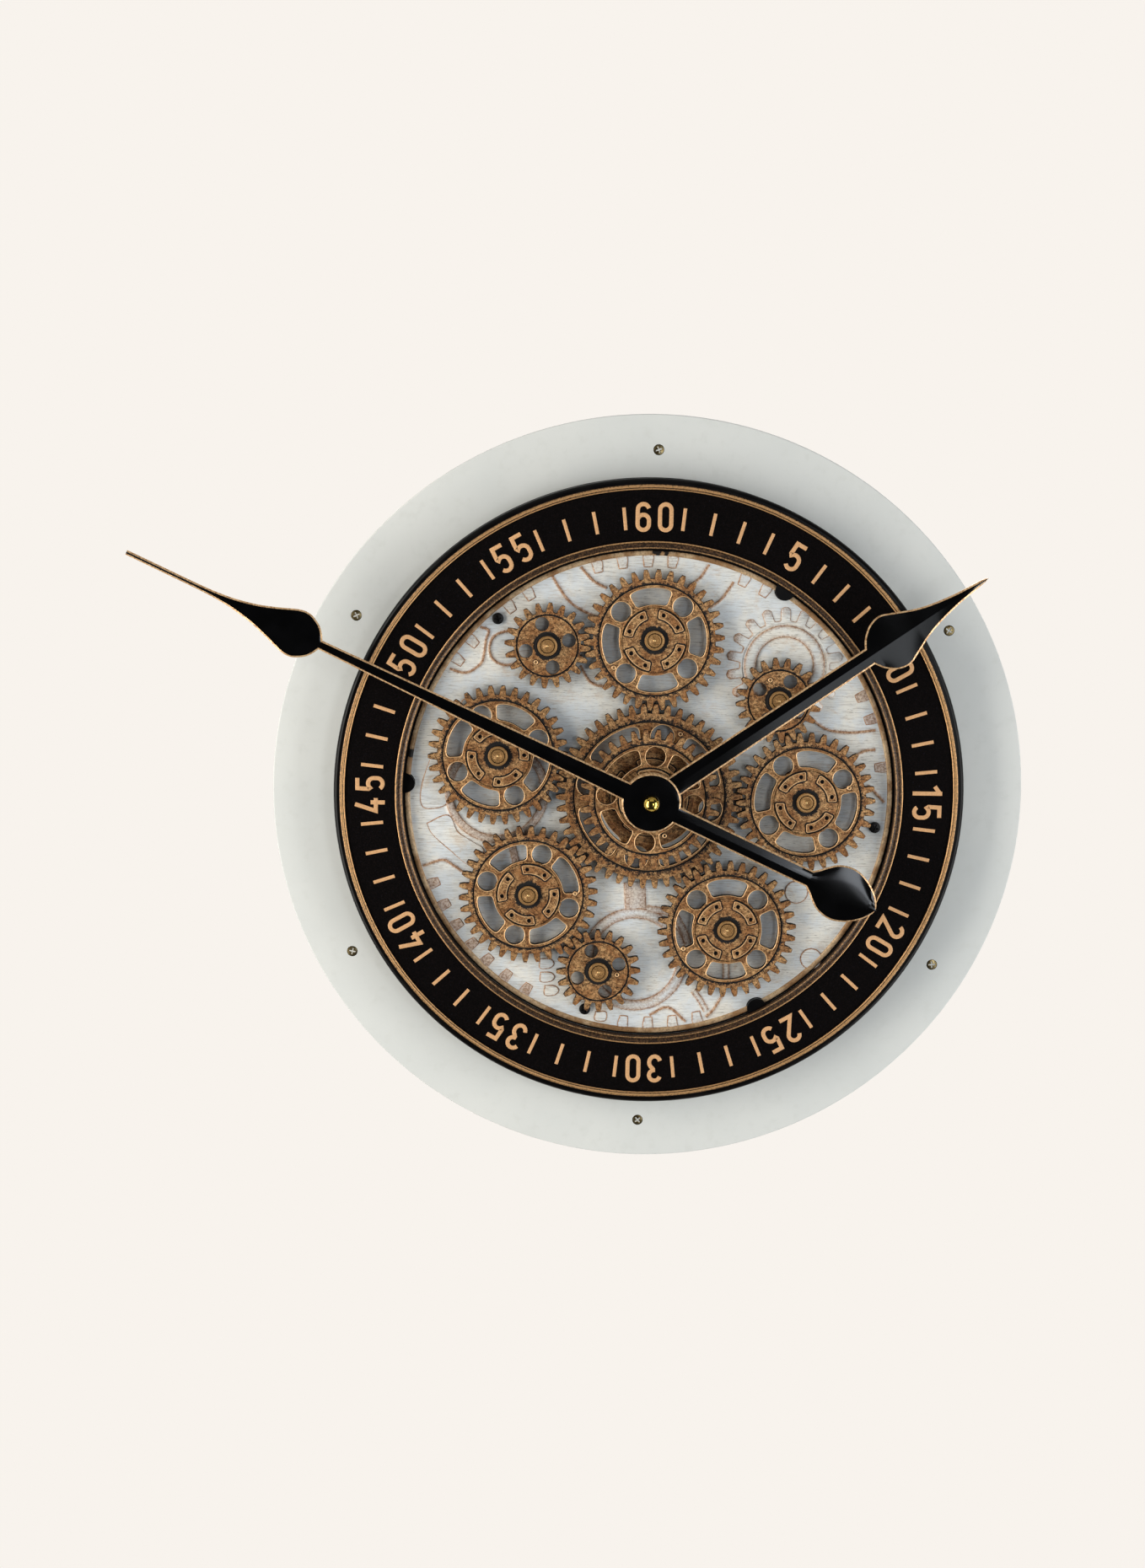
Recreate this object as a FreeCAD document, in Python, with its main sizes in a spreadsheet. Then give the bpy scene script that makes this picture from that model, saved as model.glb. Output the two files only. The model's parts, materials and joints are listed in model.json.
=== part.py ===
import FreeCAD, Part
import math
import os
import re
import Sketcher

# Wall clock with an open train of turning gears, in millimetres.
# Every piece is drawn in a working frame: x to the right, y up, z forward from the wall.
# FRONT then stands the piece up, so that +Z is up and the clock faces -Y.
# The origin is the point of the wall behind the hand shaft.

SIZES = [
    ("seat_gap", 0.3, "gap between a piece and its seat"),
    ("running_gap", 0.05, "radial gap of a shaft in its bore"),
    ("overrun", 1.0, "how far a cutting shape runs past the face it opens"),
    ("board_radius", 191.0, "pale painted board"),
    ("board_thickness", 6.0, "pale painted board"),
    ("ring_radius", 182.0, "wooden ring behind the board"),
    ("ring_thickness", 12.0, "wooden ring behind the board"),
    ("ring_width", 22.0, "wooden ring behind the board"),
    ("panel_thickness", 3.0, "rear panel"),
    ("panel_seat", 5.7, "width of the step that the rear panel lies on"),
    ("panel_screw_count", 4, "screws round the rear panel"),
    ("panel_window_margin", 2.0, "room round a battery in its window"),
    ("knob_window_radius", 6.5, "hole in the rear panel round the setting knob"),
    ("rim_rise", 15.5, "how far the rims stand in front of the board"),
    ("drum_radius", 158.3, "outside of the black drum"),
    ("drum_wall", 2.5, "black drum"),
    ("drum_lip", 2.9, "front lip of the drum, outside the outer bezel"),
    ("drum_round", 2.2, "rounded shoulder of the drum"),
    ("drum_drop", 0.4, "how far the shoulder lies behind the rims"),
    ("flange_width", 5.0, "flange of the drum behind the board"),
    ("flange_thickness", 3.0, "flange of the drum behind the board"),
    ("floor_thickness", 2.5, "floor of the drum"),
    ("ledge_width", 8.0, "ledge in the drum that carries the minute ring"),
    ("ledge_thickness", 2.0, "ledge in the drum"),
    ("dial_outer_radius", 153.9, "black minute ring"),
    ("dial_inner_radius", 125.0, "black minute ring"),
    ("dial_thickness", 2.0, "black minute ring"),
    ("dial_sink", 0.8, "how far the minute ring lies behind the rims"),
    ("outer_bezel_width", 2.65, "band of the outer bezel"),
    ("inner_bezel_width", 3.8, "band of the inner bezel"),
    ("inner_bezel_radius", 123.7, "inside of the inner bezel"),
    ("bezel_skirt", 1.1, "wall of the inner bezel below its band"),
    ("bezel_bead", 0.6, "raised edge line of a bezel"),
    ("bezel_channel", 0.4, "depth of the channel between the edge lines"),
    ("relief_sink", 5.3, "how far the relief plate lies behind the rims"),
    ("relief_thickness", 2.2, "white relief plate"),
    ("relief_radius", 127.0, "white relief plate"),
    ("post_radius", 5.0, "posts that carry the minute ring"),
    ("post_circle", 123.0, "centre circle of the posts"),
    ("post_count", 3, "posts that carry the minute ring"),
    ("post_angle", 32.3, "first post, clockwise from the top"),
    ("plate_screw_circle", 172.2, "centre circle of the brass screws"),
    ("plate_screw_count", 6, "brass screws in the board"),
    ("plate_screw_angle", 0.7, "first brass screw, clockwise from the top"),
    ("plate_screw_head", 2.75, "head radius"),
    ("plate_screw_head_height", 1.8, "height of the countersunk head"),
    ("plate_screw_radius", 1.6, "shank radius"),
    ("plate_screw_length", 11.0, "whole length"),
    ("black_screw_head", 2.9, "head radius of the relief screws"),
    ("black_screw_head_height", 1.8, "head height of the relief screws"),
    ("black_screw_radius", 1.5, "shank radius of the relief and motor screws"),
    ("black_screw_length", 4.2, "shank length of the relief screws"),
    ("small_screw_head", 2.6, "head radius of the panel and hanger screws"),
    ("small_screw_head_height", 1.3, "head height of the panel and hanger screws"),
    ("small_screw_radius", 1.3, "shank radius of the panel and hanger screws"),
    ("small_screw_length", 8.0, "whole length of the panel and hanger screws"),
    ("hanger_width", 30.0, "steel hanger plate"),
    ("hanger_height", 13.6, "steel hanger plate"),
    ("hanger_thickness", 1.5, "steel hanger plate"),
    ("hanger_centre", 174.0, "height of the hanger above the hand shaft"),
    ("hanger_hole_radius", 3.8, "round end of the keyhole"),
    ("hanger_slot_radius", 2.0, "narrow end of the keyhole"),
    ("hanger_slot_rise", 5.0, "from the round end to the narrow end"),
    ("hanger_hole_drop", 2.0, "round end below the middle of the hanger"),
    ("hanger_screw_offset", 11.5, "hanger screws to the middle"),
    ("nail_pocket_depth", 5.0, "room behind the hanger for a nail head"),
    ("nail_pocket_width", 10.0, "room behind the hanger for a nail head"),
    ("tooth_module", 1.96, "pitch diameter over teeth of the open gears"),
    ("mesh_slack", 0.2, "extra centre distance of the open gears"),
    ("large_teeth", 46, "large centre gear"),
    ("wheel_teeth", 34, "front centre gear and the five wheels round it"),
    ("pinion_teeth", 20, "three outer pinions"),
    ("gear_thickness", 3.0, "face width of the open gears"),
    ("gear_rise", 0.5, "how far the gear faces stand in front of the rims"),
    ("front_gear_rise", 9.5, "how far the front gear stands in front of the rims"),
    ("hub_rise", 0.8, "height of the hub above the gear face"),
    ("bar_rise", 0.6, "height of the curved bars above the hub"),
    ("axle_radius", 2.5, "shank of the gear axles"),
    ("axle_cap_radius", 5.0, "round cap of the gear axles"),
    ("axle_cap_height", 1.9, "round cap of the gear axles"),
    ("axle_foot_radius", 4.5, "foot of the gear axles"),
    ("bush_radius", 5.0, "brass tube that the centre gears run on"),
    ("bush_flange_radius", 9.0, "foot of the brass tube"),
    ("collar_radius", 8.5, "collar between the centre gears"),
    ("stem_radius", 4.0, "threaded stem of the quartz movement"),
    ("stem_flange_radius", 6.5, "flange of the stem inside the movement"),
    ("washer_radius", 7.0, "washer on the stem"),
    ("washer_thickness", 0.5, "washer on the stem"),
    ("nut_width", 12.0, "across the flats of the hex nut"),
    ("nut_thickness", 2.5, "hex nut"),
    ("hour_tube_radius", 2.6, "tube that carries the hour hand"),
    ("minute_shaft_radius", 1.7, "shaft that carries the minute hand"),
    ("hour_hand_rise", 16.0, "rear face of the hour hand in front of the rims"),
    ("minute_hand_rise", 20.2, "rear face of the minute hand in front of the rims"),
    ("hand_thickness", 1.8, "sheet of both hands"),
    ("hub_disc_radius", 13.8, "round hub of both hands"),
    ("collet_radius", 5.5, "ring riveted behind each hand"),
    ("minute_length", 282.4, "shaft to the tip of the minute hand"),
    ("minute_neck", 179.0, "shaft to the start of the spade"),
    ("minute_arm_half", 3.8, "half width of the arm at the hub"),
    ("minute_neck_half", 2.3, "half width of the arm at the spade"),
    ("minute_spade_half", 11.8, "half width of the spade"),
    ("tail_length", 124.1, "shaft to the tip of the counterweight"),
    ("tail_neck", 87.3, "shaft to the start of the counterweight"),
    ("tail_arm_half", 4.3, "half width of the tail arm"),
    ("tail_leaf_half", 14.1, "half width of the counterweight"),
    ("hour_length", 197.5, "shaft to the tip of the hour hand"),
    ("hour_neck", 128.7, "shaft to the start of the spade"),
    ("hour_arm_half", 5.2, "half width of the arm at the hub"),
    ("hour_neck_half", 4.4, "half width of the arm at the spade"),
    ("hour_spade_half", 14.2, "half width of the spade"),
    ("minute_angle", 295.0, "minute hand at rest, clockwise from the top"),
    ("hour_angle", 55.3, "hour hand at rest, clockwise from the top"),
    ("cap_nut_radius", 4.1, "domed brass nut"),
    ("cap_nut_height", 6.0, "domed brass nut"),
    ("cap_nut_bore_depth", 3.5, "blind thread of the brass nut"),
    ("movement_half", 28.0, "half width of the quartz movement"),
    ("movement_top", 22.0, "top of the movement above the shaft"),
    ("movement_depth", 16.0, "front to rear of the movement"),
    ("movement_wall", 1.5, "wall of the movement case"),
    ("cell_radius", 7.1, "AA cell"),
    ("cell_length", 50.5, "AA cell"),
    ("cell_nub_radius", 2.75, "plus pole of an AA cell"),
    ("cell_nub_length", 0.8, "plus pole of an AA cell"),
    ("cell_room", 0.2, "gap round a cell in its tray"),
    ("channel_width", 17.0, "battery channel of the movement"),
    ("contact_thickness", 0.5, "battery contact plates"),
    ("board_height", 12.0, "circuit board"),
    ("board_width", 20.0, "circuit board"),
    ("board_sheet", 1.0, "circuit board"),
    ("coil_radius", 3.2, "coil of the stepping motor"),
    ("coil_length", 16.0, "coil of the stepping motor"),
    ("coil_cheek", 1.0, "end cheeks of the coil"),
    ("motion_module", 0.5, "tooth module of the motion work"),
    ("motion_slack", 0.1, "extra centre distance of the motion work"),
    ("centre_pinion_teeth", 10, "pinion on the minute shaft"),
    ("motion_teeth", 30, "large wheel of the motion work"),
    ("motion_pinion_teeth", 8, "small wheel of the motion work"),
    ("hour_teeth", 32, "wheel on the hour tube"),
    ("knob_teeth", 10, "pinion on the setting knob"),
    ("motion_face", 1.4, "face width of the motion work"),
    ("motion_post_radius", 0.7, "post that the motion wheel runs on"),
    ("knob_radius", 5.0, "setting knob"),
    ("knob_height", 3.0, "setting knob"),
    ("knob_arbor_radius", 1.3, "arbor of the setting knob"),
    ("knob_direction", 225.0, "from the motion wheel to the knob, clockwise from the top"),
    ("drive_gearbox_radius", 17.0, "gearbox of the gear drive"),
    ("drive_gearbox_depth", 11.5, "gearbox of the gear drive"),
    ("drive_motor_radius", 12.0, "motor can of the gear drive"),
    ("drive_motor_depth", 7.5, "motor can of the gear drive"),
    ("drive_ear_reach", 22.0, "screw of an ear to the drive shaft"),
    ("drive_ear_radius", 3.8, "round end of an ear"),
    ("drive_ear_thickness", 2.0, "ears of the gearbox"),
    ("drive_bore_depth", 9.5, "how far the drive shaft reaches into the gearbox"),
    ("box_length", 62.0, "battery box of the gear drive"),
    ("box_height", 36.0, "battery box of the gear drive"),
    ("box_depth", 18.0, "battery box of the gear drive"),
    ("box_wall", 2.0, "battery box of the gear drive"),
    ("box_centre_x", -62.0, "battery box beside the shaft"),
    ("box_centre_y", -60.0, "battery box below the shaft"),
    ("cell_pitch", 16.0, "between the two cells of the battery box"),
    ("lid_thickness", 1.5, "lid of the battery box"),
    ("switch_length", 14.0, "slide switch"),
    ("switch_width", 8.0, "slide switch"),
    ("switch_depth", 9.0, "slide switch"),
    ("switch_setback", 8.0, "rear face of the switch in front of the wall"),
    ("switch_slot_length", 8.0, "slot of the switch"),
    ("switch_slot_width", 3.4, "slot of the switch"),
    ("switch_slot_depth", 3.0, "slot of the switch"),
    ("slider_length", 4.4, "slider of the switch"),
    ("slider_width", 2.8, "slider of the switch"),
    ("slider_rise", 2.5, "how far the slider stands out of the switch"),
]

# Places of the eight gears round the centre: the gear that drives each one, the direction
# from that gear, and the direction of a round hole, both clockwise from the top.
WHEELS = [
    ("gear_top", "gear_centre_large", 0.7, 39.0),
    ("gear_left", "gear_centre_large", 284.7, 68.0),
    ("gear_lower_left", "gear_centre_large", 229.9, 16.5),
    ("gear_lower_right", "gear_centre_large", 149.0, 46.5),
    ("gear_right", "gear_centre_large", 91.2, 57.0),
    ("pinion_upper_left", "gear_top", 266.3, 79.4),
    ("pinion_bottom", "gear_lower_left", 137.4, 62.8),
    ("pinion_upper_right", "gear_right", 343.6, 24.0),
]
LARGE_HOLE_ANGLE = 11.0
FRONT_HOLE_ANGLE = 6.0
DRIVEN_WHEEL = "gear_lower_right"

# Places of the three black screws in the relief plate: direction clockwise from the top, and
# share of the plate's radius.
RELIEF_SCREW_PLACES_SHARE = [(318.9, 0.920), (97.4, 0.908), (195.5, 0.903)]

# Outlines of the hands: how far along the blade, and half width, both as shares.
MINUTE_SPADE_SHARES = [
    (0.000, 0.195), (0.017, 0.430), (0.055, 0.780), (0.095, 0.957), (0.126, 1.000),
    (0.164, 0.940), (0.213, 0.780), (0.329, 0.430), (0.485, 0.174), (0.641, 0.104),
]
MINUTE_TIP_SHARE = 0.104
HOUR_SPADE_SHARES = [
    (0.000, 0.310), (0.013, 0.440), (0.048, 0.650), (0.106, 0.880), (0.177, 1.000),
    (0.225, 0.986), (0.285, 0.866), (0.403, 0.600), (0.523, 0.394), (0.760, 0.169),
    (1.000, 0.020),
]
TAIL_LEAF_SHARES = [
    (0.000, 0.310), (0.080, 0.450), (0.255, 0.865), (0.370, 0.970), (0.480, 1.000),
    (0.600, 0.936), (0.710, 0.820), (0.830, 0.620), (0.920, 0.390), (1.000, 0.020),
]

# Shares of the gears, all of the tooth module: heights of a tooth above and below the pitch
# circle, and half widths of a tooth at its root, pitch circle and tip.
TOOTH_TOP_SHARE = 0.90
TOOTH_ROOT_SHARE = 1.45
TOOTH_HALF_WIDTH_SHARES = (0.86, 0.60, 0.22)
MOTION_HALF_WIDTH_SHARES = (0.70, 0.45, 0.20)

# Shares of the pitch radius of a gear.
WHEEL_SHARES = {"hole": 0.156, "hole_circle": 0.655, "slot_inner": 0.517, "slot_outer": 0.775,
                "hub": 0.51, "bar_inner": 0.333, "bar_outer": 0.447}
LARGE_SHARES = {"hole": 0.133, "hole_circle": 0.692, "slot_inner": 0.56, "slot_outer": 0.81,
                "hub": 0.50, "bar_inner": 0.333, "bar_outer": 0.430}
PINION_SHARES = {"hole": 0.180, "hole_circle": 0.560, "hub": 0.30}
SLOT_HALF_ANGLE = 25.0
BAR_HALF_ANGLE = 25.0
HOLE_COUNT = 4

FRONT = FreeCAD.Rotation(FreeCAD.Vector(1, 0, 0), 90)
AXIS = FreeCAD.Vector(0, 0, 1)
OUT = "parts"

doc = FreeCAD.newDocument("gear_clock")
sheet = doc.addObject("Spreadsheet::Sheet", "sizes")
for row, (alias, value, note) in enumerate(SIZES, start=1):
    sheet.set("A%d" % row, note)
    sheet.set("B%d" % row, str(value))
    sheet.setAlias("B%d" % row, alias)
doc.recompute()

ALIASES = {alias for alias, value, note in SIZES}
nodes = []

# Depths from the wall, each worked out once from the sizes.
RING_FRONT = "ring_thickness"
BOARD_FRONT = "(ring_thickness + board_thickness)"
RIM_FRONT = "(ring_thickness + board_thickness + rim_rise)"
DIAL_FRONT = "(%s - dial_sink)" % RIM_FRONT
DIAL_REAR = "(%s - dial_thickness)" % DIAL_FRONT
RELIEF_FRONT = "(%s - relief_sink)" % RIM_FRONT
FLOOR_FRONT = "(%s - relief_thickness)" % RELIEF_FRONT
FLOOR_REAR = "(%s - floor_thickness)" % FLOOR_FRONT
GEAR_FRONT = "(%s + gear_rise)" % RIM_FRONT
GEAR_REAR = "(%s - gear_thickness)" % GEAR_FRONT
HUB_FRONT = "(%s + hub_rise)" % GEAR_FRONT
FRONT_GEAR_FRONT = "(%s + front_gear_rise)" % RIM_FRONT
FRONT_GEAR_REAR = "(%s - gear_thickness)" % FRONT_GEAR_FRONT
BUSH_TOP = "(%s + hub_rise + seat_gap)" % FRONT_GEAR_FRONT
NUT_REAR = "(%s + washer_thickness)" % BUSH_TOP
NUT_FRONT = "(%s + nut_thickness)" % NUT_REAR
HOUR_REAR = "(%s + hour_hand_rise)" % RIM_FRONT
HOUR_FRONT = "(%s + hand_thickness)" % HOUR_REAR
MINUTE_REAR = "(%s + minute_hand_rise)" % RIM_FRONT
MINUTE_FRONT = "(%s + hand_thickness)" % MINUTE_REAR
MOVEMENT_REAR = "(%s - movement_depth)" % FLOOR_REAR
MOVEMENT_INNER = "(%s - movement_wall)" % FLOOR_REAR
MOVEMENT_BOTTOM = "(movement_top - 2 * movement_half)"
CHANNEL_BOTTOM = "(%s + movement_wall)" % MOVEMENT_BOTTOM
CHANNEL_TOP = "(%s + channel_width)" % CHANNEL_BOTTOM
CELL_DEPTH = "(%s - cell_room - cell_radius)" % MOVEMENT_INNER
MINUTE_PINION_REAR = "(%s + 2 * motion_face)" % MOVEMENT_REAR
MOTION_PINION_REAR = "(%s + motion_face + seat_gap)" % MINUTE_PINION_REAR
BOX_INNER = "(%s - box_wall)" % FLOOR_REAR
BOX_REAR = "(%s - box_depth)" % FLOOR_REAR
DRUM_BORE = "(drum_radius - drum_wall)"
FLANGE_RADIUS = "(drum_radius + flange_width)"
PANEL_RADIUS = "(ring_radius - ring_width + panel_seat)"
MOTION_SPACING = "(motion_module * (centre_pinion_teeth + motion_teeth) / 2 + motion_slack)"


# Formulas, placing and checks.
def formula(text):
    """Expression text with each size name pointed at the sheet."""
    return re.sub(r"[A-Za-z_]\w*", lambda word: "sizes." + word.group(0)
                  if word.group(0) in ALIASES else word.group(0), str(text))


def number(text):
    """Value of a formula in sizes."""
    return float(sheet.evalExpression(formula(text)))


def bind(thing, prop, text):
    """Tie one property to the sheet."""
    thing.setExpression(prop, formula(text))


def stand(thing, turn=0.0, x=0.0, y=0.0, depth=0.0):
    """Stand a piece up at its place in the working frame, turned clockwise from the front."""
    turned = FRONT.multiply(FreeCAD.Rotation(AXIS, -turn))
    thing.Placement = FreeCAD.Placement(FreeCAD.Vector(x, -depth, y), turned)


def keep(thing, name):
    """Name a finished piece and list it for export."""
    thing.Label = name
    nodes.append(thing)
    return thing


def clockwise(angle, radius):
    """Place on a circle, the angle clockwise from the top."""
    return (radius * math.sin(math.radians(angle)), radius * math.cos(math.radians(angle)))


def spot(angle, radius):
    """The same as two formulas."""
    return ("(%s) * sin(%s)" % (radius, angle), "(%s) * cos(%s)" % (radius, angle))


# Bodies made of sketches.
def origin_feature(body, role):
    """Origin plane or axis of a body."""
    return next(feature for feature in body.Origin.OriginFeatures if feature.Role == role)


def new_sketch(body, name, depth="0", role="XY_Plane"):
    """Sketch on an origin plane, moved forward by depth."""
    sketch = body.newObject("Sketcher::SketchObject", name)
    sketch.AttachmentSupport = [(origin_feature(body, role), "")]
    sketch.MapMode = "FlatFace"
    if str(depth) != "0":
        bind(sketch, "AttachmentOffset.Base.z", depth)
    return sketch


def fix(sketch, kind, first, first_point, second, second_point, text):
    """Dimension between two points, tied to the sheet."""
    index = sketch.addConstraint(
        Sketcher.Constraint(kind, first, first_point, second, second_point, number(text)))
    bind(sketch, "Constraints[%d]" % index, text)


def add_circle(sketch, radius, x="0", y="0"):
    """Circle with a tied radius and centre."""
    centre = FreeCAD.Vector(number(x), number(y), 0)
    circle = sketch.addGeometry(Part.Circle(centre, AXIS, number(radius)))
    if (x, y) == ("0", "0"):
        sketch.addConstraint(Sketcher.Constraint("Coincident", circle, 3, -1, 1))
    else:
        fix(sketch, "DistanceX", -1, 1, circle, 3, x)
        fix(sketch, "DistanceY", -1, 1, circle, 3, y)
    index = sketch.addConstraint(Sketcher.Constraint("Radius", circle, number(radius)))
    bind(sketch, "Constraints[%d]" % index, radius)


def add_outline(sketch, points):
    """Closed outline of straight lines through points given as formulas."""
    spots = [FreeCAD.Vector(number(x), number(y), 0) for x, y in points]
    lines = [sketch.addGeometry(Part.LineSegment(spots[i - 1], spots[i]))
             for i in range(len(spots))]
    for i, line in enumerate(lines):
        sketch.addConstraint(Sketcher.Constraint("Coincident", lines[i - 1], 2, line, 1))
        fix(sketch, "DistanceX", -1, 1, line, 2, points[i][0])
        fix(sketch, "DistanceY", -1, 1, line, 2, points[i][1])


def add_sector(sketch, inner, outer, half_angle, middle):
    """Curved slot between two radii, half_angle each side of middle, clockwise from the top."""
    def ends(radius):
        return [spot(middle + side * half_angle, radius) for side in (1, -1)]

    arcs = []
    for radius in (inner, outer):
        first, last = (math.radians(90 - middle - side * half_angle) for side in (1, -1))
        base = Part.Circle(FreeCAD.Vector(0, 0, 0), AXIS, number(radius))
        arc = sketch.addGeometry(Part.ArcOfCircle(base, first, last))
        sketch.addConstraint(Sketcher.Constraint("Coincident", arc, 3, -1, 1))
        for point, (x, y) in zip((1, 2), ends(radius)):
            fix(sketch, "DistanceX", -1, 1, arc, point, x)
        index = sketch.addConstraint(Sketcher.Constraint("Radius", arc, number(radius)))
        bind(sketch, "Constraints[%d]" % index, radius)
        arcs.append(arc)
    for point, (start, end) in zip((1, 2), zip(ends(inner), ends(outer))):
        line = sketch.addGeometry(Part.LineSegment(
            FreeCAD.Vector(number(start[0]), number(start[1]), 0),
            FreeCAD.Vector(number(end[0]), number(end[1]), 0)))
        sketch.addConstraint(Sketcher.Constraint("Coincident", line, 1, arcs[0], point))
        sketch.addConstraint(Sketcher.Constraint("Coincident", line, 2, arcs[1], point))


def pad(body, sketch, length):
    """Pad a sketch forward."""
    feature = body.newObject("PartDesign::Pad", sketch.Name + "_pad")
    feature.Profile = sketch
    bind(feature, "Length", length)
    return feature


def pocket(body, sketch):
    """Cut a sketch right through the body, both ways."""
    feature = body.newObject("PartDesign::Pocket", sketch.Name + "_pocket")
    feature.Profile = sketch
    feature.Type = "ThroughAll"
    feature.Midplane = True
    return feature


def round_pattern(body, features, count):
    """Repeat features round the z axis."""
    pattern = body.newObject("PartDesign::PolarPattern", features[0].Name + "_pattern")
    pattern.Originals = features
    pattern.Axis = (origin_feature(body, "Z_Axis"), [""])
    pattern.Angle = 360
    bind(pattern, "Occurrences", count)
    body.Tip = pattern
    return pattern


def drill(body, name, radius, x, y, low, high, wide_radius=None):
    """Round hole from low to high, a cone where wide_radius gives the radius at high."""
    kind = "Cylinder" if wide_radius is None else "Cone"
    hole = body.newObject("PartDesign::Subtractive" + kind, name)
    if wide_radius is None:
        bind(hole, "Radius", radius)
    else:
        bind(hole, "Radius1", radius)
        bind(hole, "Radius2", wide_radius)
    bind(hole, "Height", "%s - (%s)" % (high, low))
    for prop, text in (("x", x), ("y", y), ("z", low)):
        bind(hole, "Placement.Base." + prop, text)
    return hole


def turned_body(name, profile):
    """Body turned round the z axis from a profile of radius and depth."""
    body = doc.addObject("PartDesign::Body", name)
    sketch = new_sketch(body, name + "_profile", role="XZ_Plane")
    add_outline(sketch, profile)
    turn = body.newObject("PartDesign::Revolution", name + "_turn")
    turn.Profile = sketch
    turn.ReferenceAxis = (sketch, ["V_Axis"])
    turn.Angle = 360
    stand(body)
    return keep(body, name)


def round_plate(name, radius, thickness, depth, opening=None):
    """Flat round plate, with an opening where one is given."""
    body = doc.addObject("PartDesign::Body", name)
    sketch = new_sketch(body, name + "_outline", depth)
    add_circle(sketch, radius)
    if opening is not None:
        add_circle(sketch, opening)
    pad(body, sketch, thickness)
    stand(body)
    return keep(body, name)


def round_edges(body, radius, height, width, name):
    """Fillet the circular edges that lie at a given height and radius."""
    doc.recompute()
    feature = body.Tip
    edges = []
    for index, edge in enumerate(feature.Shape.Edges, start=1):
        box = edge.BoundBox
        level = abs(box.ZMin - number(height)) + abs(box.ZMax - number(height))
        if level < number("seat_gap") / 10 and abs(box.XMax - number(width)) < number("seat_gap") / 10:
            edges.append("Edge%d" % index)
    fillet = body.newObject("PartDesign::Fillet", name)
    fillet.Base = (feature, edges)
    bind(fillet, "Radius", radius)
    return fillet


# Plain solids and booleans.
def move(thing, x, y, z):
    """Tie the place of a plain solid."""
    for prop, text in (("x", x), ("y", y), ("z", z)):
        bind(thing, "Placement.Base." + prop, text)
    return thing


def block(x, y, z):
    """Box from three pairs of low and high."""
    box = doc.addObject("Part::Box", "block")
    for prop, (low, high) in (("Length", x), ("Width", y), ("Height", z)):
        bind(box, prop, "(%s) - (%s)" % (high, low))
    return move(box, x[0], y[0], z[0])


def rod(radius, low, high, x="0", y="0"):
    """Cylinder along z."""
    cylinder = doc.addObject("Part::Cylinder", "rod")
    bind(cylinder, "Radius", radius)
    bind(cylinder, "Height", "(%s) - (%s)" % (high, low))
    return move(cylinder, x, y, low)


def lying_rod(radius, low, high, y, z):
    """Cylinder along x."""
    cylinder = doc.addObject("Part::Cylinder", "lying_rod")
    bind(cylinder, "Radius", radius)
    bind(cylinder, "Height", "(%s) - (%s)" % (high, low))
    cylinder.Placement = FreeCAD.Placement(FreeCAD.Vector(0, 0, 0),
                                           FreeCAD.Rotation(FreeCAD.Vector(0, 1, 0), 90))
    return move(cylinder, low, y, z)


def cone(low_radius, high_radius, low, high, x="0", y="0"):
    """Cone along z."""
    solid = doc.addObject("Part::Cone", "cone")
    bind(solid, "Radius1", low_radius)
    bind(solid, "Radius2", high_radius)
    bind(solid, "Height", "(%s) - (%s)" % (high, low))
    return move(solid, x, y, low)


def hexagon(width, low, high, x="0", y="0"):
    """Hexagonal prism along z, across its flats."""
    solid = doc.addObject("Part::Prism", "hexagon")
    solid.Polygon = 6
    bind(solid, "Circumradius", "(%s) / 2 / cos(30)" % width)
    bind(solid, "Height", "(%s) - (%s)" % (high, low))
    return move(solid, x, y, low)


def join(*solids):
    """One solid out of several."""
    fuse = doc.addObject("Part::MultiFuse", "join")
    fuse.Shapes = list(solids)
    return fuse


def cut(base, *tools):
    """Base less the tools."""
    result = doc.addObject("Part::Cut", "cut")
    result.Base = base
    result.Tool = tools[0] if len(tools) == 1 else join(*tools)
    return result


def group(*solids):
    """Several separate solids as one piece."""
    bunch = doc.addObject("Part::Compound", "group")
    bunch.Links = list(solids)
    return bunch


def finish(thing, name):
    """Stand a plain piece up and list it."""
    stand(thing)
    return keep(thing, name)


# Wooden ring, board and their screws.
def screw_spots(count, angle, radius):
    """Evenly spaced places as formulas."""
    return [spot("(%s + %d * 360 / %s)" % (angle, i, count), radius)
            for i in range(int(number(count)))]


def panel_screw_spots():
    return screw_spots("panel_screw_count", "180 / panel_screw_count",
                       "(ring_radius - ring_width + panel_seat / 2)")


def hanger_box(margin):
    """Sides of the hanger plate, grown by a margin."""
    half = "(hanger_width / 2 + %s)" % margin
    tall = "(hanger_height / 2 + %s)" % margin
    return ("-" + half, half), ("hanger_centre - " + tall, "hanger_centre + " + tall)


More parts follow.
